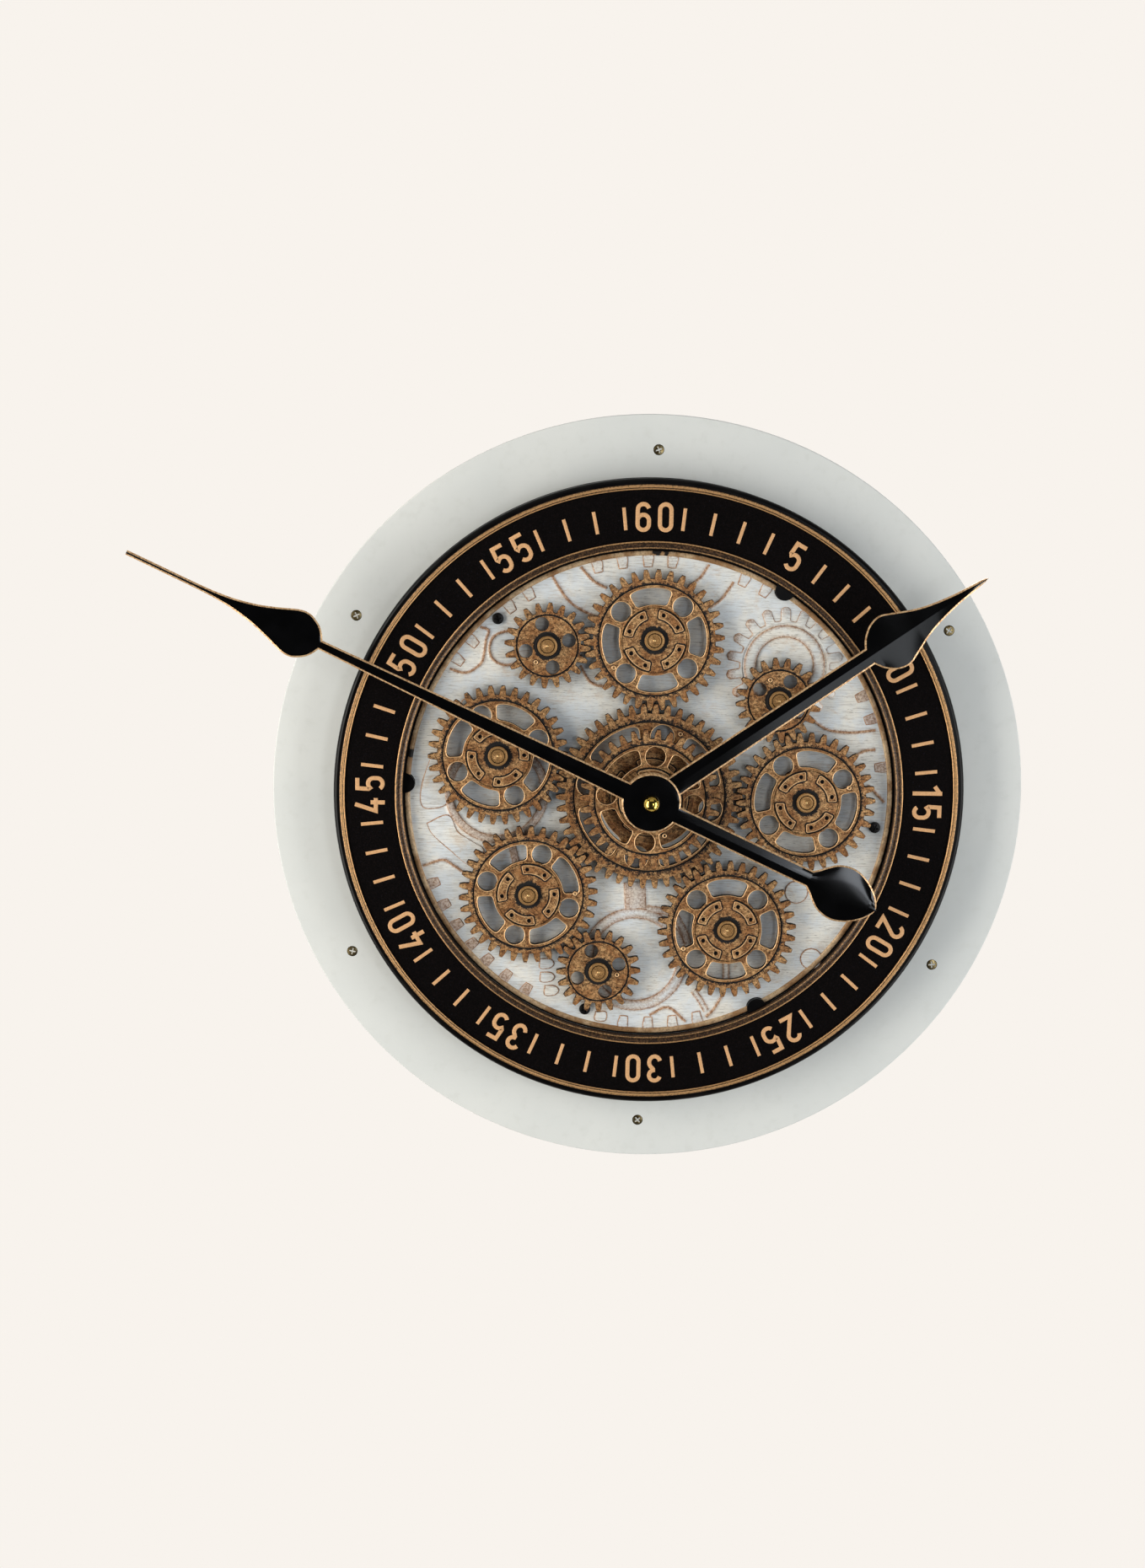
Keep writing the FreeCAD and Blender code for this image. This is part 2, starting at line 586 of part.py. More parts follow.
def make_backing_ring():
    inner = "ring_radius - ring_width"
    step = "%s + seat_gap" % PANEL_RADIUS
    seat = "%s + seat_gap" % FLANGE_RADIUS
    flange_rear = "ring_thickness - flange_thickness"
    ring = turned_body("backing_ring", [
        (inner, "panel_thickness"), (step, "panel_thickness"), (step, "0"),
        ("ring_radius", "0"), ("ring_radius", RING_FRONT), (seat, RING_FRONT),
        (seat, flange_rear), (inner, flange_rear)])
    hole = drill(ring, "screw_pilot", "plate_screw_radius + running_gap",
                 *spot("plate_screw_angle", "plate_screw_circle"),
                 "%s - plate_screw_length - seat_gap" % BOARD_FRONT, "ring_thickness + overrun")
    round_pattern(ring, [hole], "plate_screw_count")
    for x, y in panel_screw_spots():
        drill(ring, "panel_pilot", "small_screw_radius + running_gap", x, y,
              "0", "small_screw_length + seat_gap")
    for side in ("-", ""):
        drill(ring, "hanger_pilot", "small_screw_radius + running_gap",
              side + "hanger_screw_offset", "hanger_centre", "0", "small_screw_length + seat_gap")
    sides = hanger_box("seat_gap")
    for name, (x, y), high in (
            ("hanger_seat", sides, "hanger_thickness"),
            ("nail_pocket", (("-nail_pocket_width / 2", "nail_pocket_width / 2"),
                             (sides[1][0] + " + seat_gap", sides[1][1] + " - seat_gap")),
             "hanger_thickness + nail_pocket_depth")):
        recess = ring.newObject("PartDesign::SubtractiveBox", name)
        bind(recess, "Length", "(%s) - (%s)" % (x[1], x[0]))
        bind(recess, "Width", "(%s) - (%s)" % (y[1], y[0]))
        bind(recess, "Height", high)
        for prop, text in (("x", x[0]), ("y", y[0])):
            bind(recess, "Placement.Base." + prop, text)


def make_mounting_plate():
    plate = round_plate("mounting_plate", "board_radius", "board_thickness", RING_FRONT,
                        "drum_radius + seat_gap")
    place = spot("plate_screw_angle", "plate_screw_circle")
    shank = drill(plate, "screw_hole", "plate_screw_radius + 2 * running_gap", *place,
                  "ring_thickness - overrun", "%s + overrun" % BOARD_FRONT)
    sink = drill(plate, "screw_sink", "plate_screw_radius + running_gap", *place,
                 "%s - plate_screw_head_height" % BOARD_FRONT, BOARD_FRONT,
                 "plate_screw_head + running_gap")
    round_pattern(plate, [shank, sink], "plate_screw_count")


def countersunk(x, y, face, length, head, head_height, shank, direction):
    """Countersunk screw with its face at a depth, its shank running back or forward."""
    neck = "%s %s %s" % (face, direction, head_height)
    tip = "%s %s %s" % (face, direction, length)
    if direction == "-":
        return join(cone(shank, head, neck, face, x, y), rod(shank, tip, neck, x, y))
    return join(cone(head, shank, face, neck, x, y), rod(shank, neck, tip, x, y))


def make_plate_screws():
    screws = [countersunk(x, y, BOARD_FRONT, "plate_screw_length", "plate_screw_head",
                          "plate_screw_head_height", "plate_screw_radius", "-")
              for x, y in screw_spots("plate_screw_count", "plate_screw_angle",
                                      "plate_screw_circle")]
    finish(group(*screws), "plate_screws")


def small_screw(x, y):
    return countersunk(x, y, "0", "small_screw_length", "small_screw_head",
                       "small_screw_head_height", "small_screw_radius", "+")


def small_screw_hole(x, y, thickness):
    """Clearance hole and countersink of a small screw from the rear."""
    return join(
        rod("small_screw_radius + 2 * running_gap", "-overrun", thickness + " + overrun", x, y),
        cone("small_screw_head + running_gap", "small_screw_radius + running_gap", "0",
             "small_screw_head_height", x, y))


def make_rear_panel():
    """Round panel with windows for the quartz battery, the setting knob and the drive's box."""
    disc = rod(PANEL_RADIUS, "0", "panel_thickness")
    low, high = "-overrun", "panel_thickness + overrun"
    half = "(cell_length / 2 + 2 * panel_window_margin)"
    battery = block(("-" + half, half),
                    ("%s - movement_wall" % MOVEMENT_BOTTOM, "%s - movement_wall" % CHANNEL_TOP),
                    (low, high))
    knob = rod("knob_window_radius", low, high, *knob_place())
    box = block(("box_centre_x - box_length / 2 - panel_window_margin",
                 "box_centre_x + box_length / 2 + panel_window_margin"),
                ("box_centre_y - box_height / 2 - panel_window_margin",
                 "box_centre_y + box_height / 2 + switch_width + panel_window_margin"),
                (low, high))
    holes = [small_screw_hole(x, y, "panel_thickness") for x, y in panel_screw_spots()]
    finish(cut(disc, battery, knob, box, *holes), "rear_panel")
    finish(group(*[small_screw(x, y) for x, y in panel_screw_spots()]), "rear_panel_screws")


def make_hanger():
    """Steel keyhole plate let into the ring, with its two screws."""
    x, y = hanger_box("0")
    plate = block(x, y, ("0", "hanger_thickness"))
    low, high = "-overrun", "hanger_thickness + overrun"
    hole = "(hanger_centre - hanger_hole_drop)"
    top = "(%s + hanger_slot_rise)" % hole
    keyhole = join(rod("hanger_hole_radius", low, high, "0", hole),
                   rod("hanger_slot_radius", low, high, "0", top),
                   block(("-hanger_slot_radius", "hanger_slot_radius"), (hole, top), (low, high)))
    places = [(side + "hanger_screw_offset", "hanger_centre") for side in ("-", "")]
    holes = [small_screw_hole(*place, "hanger_thickness") for place in places]
    finish(cut(plate, keyhole, *holes), "hanger_plate")
    finish(group(*[small_screw(*place) for place in places]), "hanger_screws")


# Drum, bezels, minute ring and relief plate.
def wheel_centres():
    """Centres of all the open gears as numbers."""
    places = {"gear_centre_large": (0.0, 0.0)}
    for name, driver, direction, hole in WHEELS:
        x, y = clockwise(direction, number(wheel_spacing(name, driver)))
        places[name] = (places[driver][0] + x, places[driver][1] + y)
    return places


def teeth_of(name):
    """Size name of a gear's tooth count."""
    if name == "gear_centre_large":
        return "large_teeth"
    return "pinion_teeth" if name.startswith("pinion") else "wheel_teeth"


def wheel_spacing(name, driver):
    return "(tooth_module * (%s + %s) / 2 + mesh_slack)" % (teeth_of(name), teeth_of(driver))


def wheel_place(name):
    """Centre of a gear as two formulas."""
    if name == "gear_centre_large":
        return "0", "0"
    driver, direction = next((row[1], row[2]) for row in WHEELS if row[0] == name)
    base_x, base_y = wheel_place(driver)
    x, y = spot(direction, wheel_spacing(name, driver))
    return "(%s + %s)" % (base_x, x), "(%s + %s)" % (base_y, y)


def ear_places():
    """The two screws of the gearbox."""
    x, y = wheel_place(DRIVEN_WHEEL)
    return [("%s %s drive_ear_reach" % (x, side), y) for side in ("-", "+")]


def relief_screw_places():
    return [spot(angle, "(relief_radius * %s)" % share)
            for angle, share in RELIEF_SCREW_PLACES_SHARE]


def make_case_drum():
    """Drum with its flange behind the board, its floor, and the ledge for the minute ring."""
    front = "%s - drum_drop" % RIM_FRONT
    lip = "drum_radius - drum_lip"
    ledge = "%s - ledge_width" % DRUM_BORE
    ledge_rear = "%s - ledge_thickness" % DIAL_REAR
    flange_rear = "ring_thickness - flange_thickness"
    drum = turned_body("case_drum", [
        ("0", FLOOR_REAR), (DRUM_BORE, FLOOR_REAR), (DRUM_BORE, flange_rear),
        (FLANGE_RADIUS, flange_rear), (FLANGE_RADIUS, RING_FRONT), ("drum_radius", RING_FRONT),
        ("drum_radius", front), (lip, front), (lip, DIAL_REAR), (ledge, DIAL_REAR),
        (ledge, ledge_rear), (DRUM_BORE, ledge_rear), (DRUM_BORE, FLOOR_FRONT),
        ("0", FLOOR_FRONT)])
    round_edges(drum, "drum_round", front, "drum_radius", "shoulder")
    low, high = "%s - overrun" % FLOOR_REAR, "%s + overrun" % FLOOR_FRONT
    drill(drum, "stem_hole", "stem_radius + running_gap", "0", "0", low, high)
    for name, driver, direction, hole in WHEELS:
        drill(drum, "axle_hole", "axle_radius + running_gap", *wheel_place(name), low, high)
    for x, y in ear_places() + relief_screw_places():
        drill(drum, "screw_pilot", "black_screw_radius + running_gap", x, y, low, high)


def band(inner, outer, face):
    """Front of a bezel: two raised edge lines with a channel between them."""
    bead, slope = "bezel_bead", "bezel_channel"
    return [(outer, face), ("%s - %s" % (outer, bead), face),
            ("%s - %s - %s" % (outer, bead, slope), "%s - bezel_channel" % face),
            ("%s + %s + %s" % (inner, bead, slope), "%s - bezel_channel" % face),
            ("%s + %s" % (inner, bead), face), (inner, face)]


def make_bezels():
    """Bronze rims outside and inside the minute ring."""
    outside = "(drum_radius - drum_lip - seat_gap / 2)"
    inside = "(%s - outer_bezel_width)" % outside
    leg = "(dial_outer_radius + seat_gap / 2)"
    turned_body("outer_bezel", [(inside, DIAL_FRONT), (leg, DIAL_FRONT), (leg, DIAL_REAR),
                                (outside, DIAL_REAR)] + band(inside, outside, RIM_FRONT))
    inside = "inner_bezel_radius"
    outside = "(inner_bezel_radius + inner_bezel_width)"
    skirt = "inner_bezel_radius + bezel_skirt"
    bottom = "%s + seat_gap" % RELIEF_FRONT
    bezel = turned_body("inner_bezel", [(inside, bottom), (skirt, bottom), (skirt, DIAL_FRONT),
                                        (outside, DIAL_FRONT)] + band(inside, outside, RIM_FRONT))
    notch = drill(bezel, "post_notch", "post_radius + seat_gap",
                  *spot("post_angle", "post_circle"), RELIEF_FRONT, DIAL_REAR)
    round_pattern(bezel, [notch], "post_count")


def make_dial():
    """Black minute ring and the three posts that carry its inner edge."""
    round_plate("dial_ring", "dial_outer_radius", "dial_thickness", DIAL_REAR,
                "dial_inner_radius")
    posts = [rod("post_radius", FLOOR_FRONT, DIAL_REAR, x, y)
             for x, y in screw_spots("post_count", "post_angle", "post_circle")]
    finish(group(*posts), "dial_posts")


def make_relief_plate():
    """Plate behind the gears, notched round the posts."""
    plate = round_plate("relief_plate", "relief_radius", "relief_thickness", FLOOR_FRONT)
    low, high = "%s - overrun" % FLOOR_FRONT, "%s + overrun" % RELIEF_FRONT
    drill(plate, "stem_hole", "stem_radius + running_gap", "0", "0", low, high)
    for name, driver, direction, hole in WHEELS:
        drill(plate, "axle_hole", "axle_radius + running_gap", *wheel_place(name), low, high)
    for x, y in relief_screw_places():
        drill(plate, "screw_hole", "black_screw_radius + 2 * running_gap", x, y, low, high)
    for x, y in screw_spots("post_count", "post_angle", "post_circle"):
        drill(plate, "post_notch", "post_radius + seat_gap", x, y, low, high)
    screws = [join(rod("black_screw_head", RELIEF_FRONT,
                       "%s + black_screw_head_height" % RELIEF_FRONT, x, y),
                   rod("black_screw_radius", "%s - black_screw_length" % RELIEF_FRONT,
                       RELIEF_FRONT, x, y))
              for x, y in relief_screw_places()]
    finish(group(*screws), "relief_screws")


# Open gears. Each is drawn with a tooth and a round hole at the top.
def add_tooth(body, name, teeth, module, depth, length, half_width_shares):
    """One tooth on top of a blank, repeated round it."""
    pitch = "(%s * %s / 2)" % (module, teeth)
    root = "(%s - %s * %s)" % (pitch, module, TOOTH_ROOT_SHARE)
    tip = "(%s + %s * %s)" % (pitch, module, TOOTH_TOP_SHARE)
    halves = ["(%s * %s)" % (module, share) for share in half_width_shares]
    base = "(%s - %s / 4)" % (root, module)
    sketch = new_sketch(body, name + "_tooth", depth)
    right = [(halves[0], base), (halves[0], root), (halves[1], pitch), (halves[2], tip)]
    left = [("-" + x, y) for x, y in reversed(right)]
    add_outline(sketch, right + left)
    return round_pattern(body, [pad(body, sketch, length)], teeth)


def root_radius(teeth, module):
    return "(%s * (%s / 2 - %s))" % (module, teeth, TOOTH_ROOT_SHARE)


def make_gear(name, teeth, shares, rear, place, turn, bore):
    """Open gear: blank, teeth, round holes, curved slots, raised hub and curved bars."""
    body = doc.addObject("PartDesign::Body", name)
    pitch = "(tooth_module * %s / 2)" % teeth
    blank = new_sketch(body, name + "_blank", rear)
    add_circle(blank, root_radius(teeth, "tooth_module"))
    pad(body, blank, "gear_thickness")
    hub = new_sketch(body, name + "_hub", rear)
    add_circle(hub, "%s * %s" % (pitch, shares["hub"]))
    pad(body, hub, "gear_thickness + hub_rise")
    hole = new_sketch(body, name + "_hole")
    add_circle(hole, "%s * %s" % (pitch, shares["hole"]), "0",
               "%s * %s" % (pitch, shares["hole_circle"]))
    round_pattern(body, [pocket(body, hole)], str(HOLE_COUNT))
    if "slot_inner" in shares:
        slot = new_sketch(body, name + "_slot")
        add_sector(slot, "%s * %s" % (pitch, shares["slot_inner"]),
                   "%s * %s" % (pitch, shares["slot_outer"]), SLOT_HALF_ANGLE,
                   180 / HOLE_COUNT)
        round_pattern(body, [pocket(body, slot)], str(HOLE_COUNT))
        bar = new_sketch(body, name + "_bar", rear)
        add_sector(bar, "%s * %s" % (pitch, shares["bar_inner"]),
                   "%s * %s" % (pitch, shares["bar_outer"]), BAR_HALF_ANGLE, 0)
        round_pattern(body, [pad(body, bar, "gear_thickness + hub_rise + bar_rise")],
                      str(HOLE_COUNT))
    shaft_bore(body, name + "_bore", bore)
    add_tooth(body, name, teeth, "tooth_module", rear, "gear_thickness", TOOTH_HALF_WIDTH_SHARES)
    stand(body, turn, *place)
    return keep(body, name)


def meshed_turn(wheel_turn, wheel_teeth, driver_turn, driver_teeth, direction):
    """Turn of a gear that brings it into mesh, nearest to the wanted one.

    A tooth of the driver at some share of a pitch past the line of centres needs the gear's
    tooth at the same share before it, plus half a pitch.
    """
    pitch = 360.0 / wheel_teeth
    passed = (direction - driver_turn) * driver_teeth / 360.0
    tooth = direction + 180.0 - (0.5 - passed) * pitch
    turns = []
    for quarter in range(HOLE_COUNT):
        wanted = wheel_turn + quarter * 360.0 / HOLE_COUNT
        turns.append((tooth + pitch * round((wanted - tooth) / pitch), wanted))
    return min(turns, key=lambda pair: abs(pair[0] - pair[1]))[0]


def make_open_gears():
    """The two centre gears and the eight gears round them, in mesh."""
    turns = {"gear_centre_large": LARGE_HOLE_ANGLE}
    make_gear("gear_centre_large", "large_teeth", LARGE_SHARES, GEAR_REAR, (0, 0),
              LARGE_HOLE_ANGLE, "bush_radius + running_gap")
    make_gear("gear_centre_front", "wheel_teeth", WHEEL_SHARES, FRONT_GEAR_REAR, (0, 0),
              FRONT_HOLE_ANGLE, "bush_radius + running_gap")
    centres = wheel_centres()
    for name, driver, direction, hole in WHEELS:
        teeth = teeth_of(name)
        turns[name] = meshed_turn(hole, number(teeth), turns[driver],
                                  number(teeth_of(driver)), direction)
        shares = PINION_SHARES if teeth == "pinion_teeth" else WHEEL_SHARES
        make_gear(name, teeth, shares, GEAR_REAR, centres[name], turns[name],
                  "axle_radius + running_gap")
    return turns


def make_axles():
    """Riveted axles of the gears, and the shaft that drives one of them."""
    cap_rear = "(%s + seat_gap)" % HUB_FRONT
    cap_front = "(%s + axle_cap_height)" % cap_rear
    foot = "(%s - seat_gap)" % GEAR_REAR
    axles = []
    for name, driver, direction, hole in WHEELS:
        if name == DRIVEN_WHEEL:
            continue
        x, y = wheel_place(name)
        axles.append(join(rod("axle_foot_radius", RELIEF_FRONT, foot, x, y),
                          rod("axle_radius", FLOOR_REAR, cap_rear, x, y),
                          rod("axle_cap_radius", cap_rear, cap_front, x, y)))
    finish(group(*axles), "gear_axles")
    x, y = wheel_place(DRIVEN_WHEEL)
    shaft = join(rod("axle_foot_radius", "%s + seat_gap" % RELIEF_FRONT, GEAR_REAR, x, y),
                 rod("axle_radius", "%s - drive_bore_depth + seat_gap" % FLOOR_REAR,
                     cap_rear, x, y),
                 rod("axle_cap_radius", cap_rear, cap_front, x, y))
    finish(shaft, "drive_shaft")


def make_centre_stack():
    """Tube for the centre gears, collar between them, and the stem with its nut."""
    bore = "stem_radius + running_gap"
    foot = "%s - seat_gap" % GEAR_REAR
    turned_body("centre_bush", [
        (bore, RELIEF_FRONT), ("bush_flange_radius", RELIEF_FRONT),
        ("bush_flange_radius", foot), ("bush_radius", foot), ("bush_radius", BUSH_TOP),
        (bore, BUSH_TOP)])
    collar_bore = "bush_radius + running_gap"
    turned_body("centre_collar", [
        (collar_bore, HUB_FRONT), ("collar_radius", HUB_FRONT),
        ("collar_radius", FRONT_GEAR_REAR), (collar_bore, FRONT_GEAR_REAR)])
    hollow = "hour_tube_radius + running_gap"
    flange_rear = "%s - movement_wall" % MOVEMENT_INNER
    turned_body("movement_stem", [
        (hollow, flange_rear), ("stem_flange_radius", flange_rear),
        ("stem_flange_radius", MOVEMENT_INNER), ("stem_radius", MOVEMENT_INNER),
        ("stem_radius", NUT_FRONT + " + seat_gap"), (hollow, NUT_FRONT + " + seat_gap")])
    turned_body("stem_washer", [
        (bore, BUSH_TOP), ("washer_radius", BUSH_TOP), ("washer_radius", NUT_REAR),
        (bore, NUT_REAR)])
    finish(cut(hexagon("nut_width", NUT_REAR, NUT_FRONT),
               rod(bore, NUT_REAR + " - overrun", NUT_FRONT + " + overrun")), "stem_nut")


# Hands.
def blade(start, end, half, shares):
    """Points of one side of a blade, as numbers along the hand and across it."""
    return [(start + (end - start) * along, half * across) for along, across in shares]


def smooth(points, side):
    """Curve through points, on the right or the left of the hand."""
    curve = Part.BSplineCurve()
    curve.interpolate([FreeCAD.Vector(side * across, along, 0) for along, across in points])
    return curve.toShape()


def straight(first, last, side):
    """Straight edge between two points, on the right or the left of the hand."""
    return Part.makeLine(FreeCAD.Vector(side * first[1], first[0], 0),
                         FreeCAD.Vector(side * last[1], last[0], 0))


def across(point):
    """Edge from the right side to the left at one end of the hand."""
    return Part.makeLine(FreeCAD.Vector(point[1], point[0], 0),
                         FreeCAD.Vector(-point[1], point[0], 0))


def arm_and_blade(arm_half, neck, spade, tip):
    """Flat face of one arm with its blade, from the shaft to the tip."""
    edges = []
    for side in (1, -1):
        edges.append(straight((0.0, arm_half), (neck, spade[0][1]), side))
        edges.append(smooth(spade, side))
        if tip is not None:
            edges.append(straight(spade[-1], tip, side))
    edges.append(across((0.0, arm_half)))
    edges.append(across(tip or spade[-1]))
    return Part.Face(Part.Wire(Part.__sortEdges__(edges)))


def make_hand(name, faces, rear, bore, turn):
    """Flat sheet hand with a round hub, drilled for its shaft."""
    disc = Part.Face(Part.Wire(Part.makeCircle(number("hub_disc_radius"))))
    sheet_face = disc.multiFuse(faces).removeSplitter()
    solid = sheet_face.Faces[0].extrude(FreeCAD.Vector(0, 0, number("hand_thickness")))
    hole = Part.makeCylinder(number(bore), number("hand_thickness"))
    hand = doc.addObject("Part::Feature", name)
    hand.Shape = solid.cut(hole)
    stand(hand, turn, depth=number(rear))
    return keep(hand, name)


def make_hands():
    """Hour and minute hands with their collets, tube, shaft and cap nut."""
    length, neck = number("minute_length"), number("minute_neck")
    half = number("minute_spade_half")
    spade = blade(neck, length, half, MINUTE_SPADE_SHARES)
    minute = arm_and_blade(number("minute_arm_half"), neck, spade,
                           (length, half * MINUTE_TIP_SHARE))
    leaf = blade(number("tail_neck"), number("tail_length"), number("tail_leaf_half"),
                 TAIL_LEAF_SHARES)
    tail = arm_and_blade(number("tail_arm_half"), number("tail_neck"), leaf, None)
    tail.rotate(FreeCAD.Vector(0, 0, 0), AXIS, 180)
    make_hand("minute_hand", [minute, tail], MINUTE_REAR, "minute_shaft_radius + running_gap / 2",
              number("minute_angle"))
    spade = blade(number("hour_neck"), number("hour_length"), number("hour_spade_half"),
                  HOUR_SPADE_SHARES)
    hour = arm_and_blade(number("hour_arm_half"), number("hour_neck"), spade, None)
    make_hand("hour_hand", [hour], HOUR_REAR, "hour_tube_radius + running_gap / 2",
              number("hour_angle"))
    hour_bore = "hour_tube_radius + running_gap / 2"
    hour_collet = "%s + 2 * seat_gap" % NUT_FRONT
    turned_body("hour_collet", [
        (hour_bore, hour_collet), ("collet_radius", hour_collet), ("collet_radius", HOUR_REAR),
        (hour_bore, HOUR_REAR)])
    minute_bore = "minute_shaft_radius + running_gap / 2"
    minute_collet = "%s + 2 * seat_gap" % HOUR_FRONT
    turned_body("minute_collet", [
        (minute_bore, minute_collet), ("collet_radius", minute_collet),
        ("collet_radius", MINUTE_REAR), (minute_bore, MINUTE_REAR)])
    thread_end = "%s + cap_nut_bore_depth" % MINUTE_FRONT
    top = "%s + cap_nut_height" % MINUTE_FRONT
    shoulder = "%s + cap_nut_height / 2" % MINUTE_FRONT
    nut = turned_body("hand_nut", [
        (minute_bore, MINUTE_FRONT), ("cap_nut_radius", MINUTE_FRONT),
        ("cap_nut_radius", shoulder), ("cap_nut_radius * 0.94", shoulder + " + cap_nut_height / 6"),
        ("cap_nut_radius * 0.77", shoulder + " + cap_nut_height / 3"),
        ("cap_nut_radius * 0.45", shoulder + " + cap_nut_height * 0.455"), ("0", top),
        ("0", thread_end), (minute_bore, thread_end)])
    return nut


# Quartz movement.
def motion_place():
    """Centre of the motion wheel, to the left of the shaft."""
    return "-" + MOTION_SPACING, "0"


def knob_place():
    """Centre of the setting knob."""
    x, y = spot("knob_direction", MOTION_SPACING)
    return "(-%s + %s)" % (MOTION_SPACING, x), y


def make_movement_case():
    """Hollow case with a battery channel that is open at the rear, and the cover over the wheels."""
    half, top = "movement_half", "movement_top"
    lid = "(%s + movement_wall)" % MOVEMENT_REAR
    inner_half = "(movement_half - movement_wall)"
    shell = block(("-" + half, half), (MOVEMENT_BOTTOM, top), (lid, FLOOR_REAR))
    works = block(("-" + inner_half, inner_half),
                  ("%s + movement_wall" % CHANNEL_TOP, "movement_top - movement_wall"),
                  (lid + " - overrun", MOVEMENT_INNER))
    channel = block(("-" + inner_half, inner_half), (CHANNEL_BOTTOM, CHANNEL_TOP),
                    (lid + " - overrun", MOVEMENT_INNER))
    stem = rod("stem_radius + running_gap", MOVEMENT_INNER + " - overrun",
               FLOOR_REAR + " + overrun")
    x, y = motion_place()
    post = rod("motion_post_radius", lid + " + seat_gap", MOVEMENT_INNER, x, y)
    finish(join(cut(shell, works, channel, stem), post), "movement_case")
    cover = block(("-" + half, half), (CHANNEL_TOP, top), (MOVEMENT_REAR, lid))
    arbor = rod("knob_arbor_radius + running_gap", MOVEMENT_REAR + " - overrun",
                lid + " + overrun", *knob_place())
    finish(cut(cover, arbor), "movement_cover")


def cell(x, y, z):
    """AA cell lying along x, its plus pole to the right."""
    body = lying_rod("cell_radius", "%s - cell_length / 2" % x,
                     "%s + cell_length / 2 - cell_nub_length" % x, y, z)
    nub = lying_rod("cell_nub_radius", "%s + cell_length / 2 - cell_nub_length" % x,
                    "%s + cell_length / 2" % x, y, z)
    return join(body, nub)


def contact(side, centre, wall, y, z):
    """Contact plate on an end wall, with a boss that reaches to the cell."""
    face = "(%s %s (%s - contact_thickness))" % (centre, side, wall)
    back = "(%s %s %s)" % (centre, side, wall)
    end = "(%s %s (cell_length / 2 + cell_room))" % (centre, side)
    x_plate = (face, back) if side == "+" else (back, face)
    x_boss = (end, face) if side == "+" else (face, end)
    size = "cell_nub_radius * 1.6"
    plate = block(x_plate, ("%s - %s" % (y, size), "%s + %s" % (y, size)),
                  ("%s - %s" % (z, size), "%s + %s" % (z, size)))
    return join(plate, lying_rod("cell_nub_radius", x_boss[0], x_boss[1], y, z))


def make_movement_inside():
    """Cell, contacts, circuit board and coil."""
    y = "((%s + %s) / 2)" % (CHANNEL_BOTTOM, CHANNEL_TOP)
    finish(group(cell("0", y, CELL_DEPTH)), "movement_battery")
    wall = "(movement_half - movement_wall)"
    finish(group(contact("-", "0", wall, y, CELL_DEPTH), contact("+", "0", wall, y, CELL_DEPTH)),
           "movement_contacts")
    right = "(movement_half - 2 * movement_wall)"
    top = "(movement_top - 2 * movement_wall)"
    board_rear = "(%s - board_sheet)" % MOVEMENT_INNER
    finish(group(block(("%s - board_width" % right, right), ("%s - board_height" % top, top),
                       (board_rear, MOVEMENT_INNER))), "circuit_board")
    middle = "(%s - board_width / 2)" % right
    height = "(%s - board_height / 2)" % top
    depth = "(%s - coil_radius - coil_cheek)" % board_rear
    size = "(coil_radius + coil_cheek)"
    pieces = [lying_rod("coil_radius", "%s - coil_length / 2" % middle,
                        "%s + coil_length / 2" % middle, height, depth)]
    for side in ("-", "+"):
        end = "(%s %s coil_length / 2)" % (middle, side)
        inward = "(%s %s (coil_length / 2 - coil_cheek))" % (middle, side)
        pieces.append(block((end, inward) if side == "-" else (inward, end),
                            ("%s - %s" % (height, size), "%s + %s" % (height, size)),
                            ("%s - %s" % (depth, size), board_rear)))
    finish(join(*pieces), "motor_coil")


def small_wheel(body, name, teeth, rear):
    """Blank and teeth of one wheel of the motion work."""
    shaft_pad(body, name + "_blank", root_radius(teeth, "motion_module"), rear,
              rear + " + motion_face")
    add_tooth(body, name, teeth, "motion_module", rear, "motion_face", MOTION_HALF_WIDTH_SHARES)


def shaft_pad(body, name, radius, low, high):
    """Round shaft added to a wheel."""
    sketch = new_sketch(body, name, low)
    add_circle(sketch, radius)
    pad(body, sketch, "(%s) - (%s)" % (high, low))


def shaft_bore(body, name, radius):
    """Bore right through a wheel."""
    sketch = new_sketch(body, name)
    add_circle(sketch, radius)
    pocket(body, sketch)


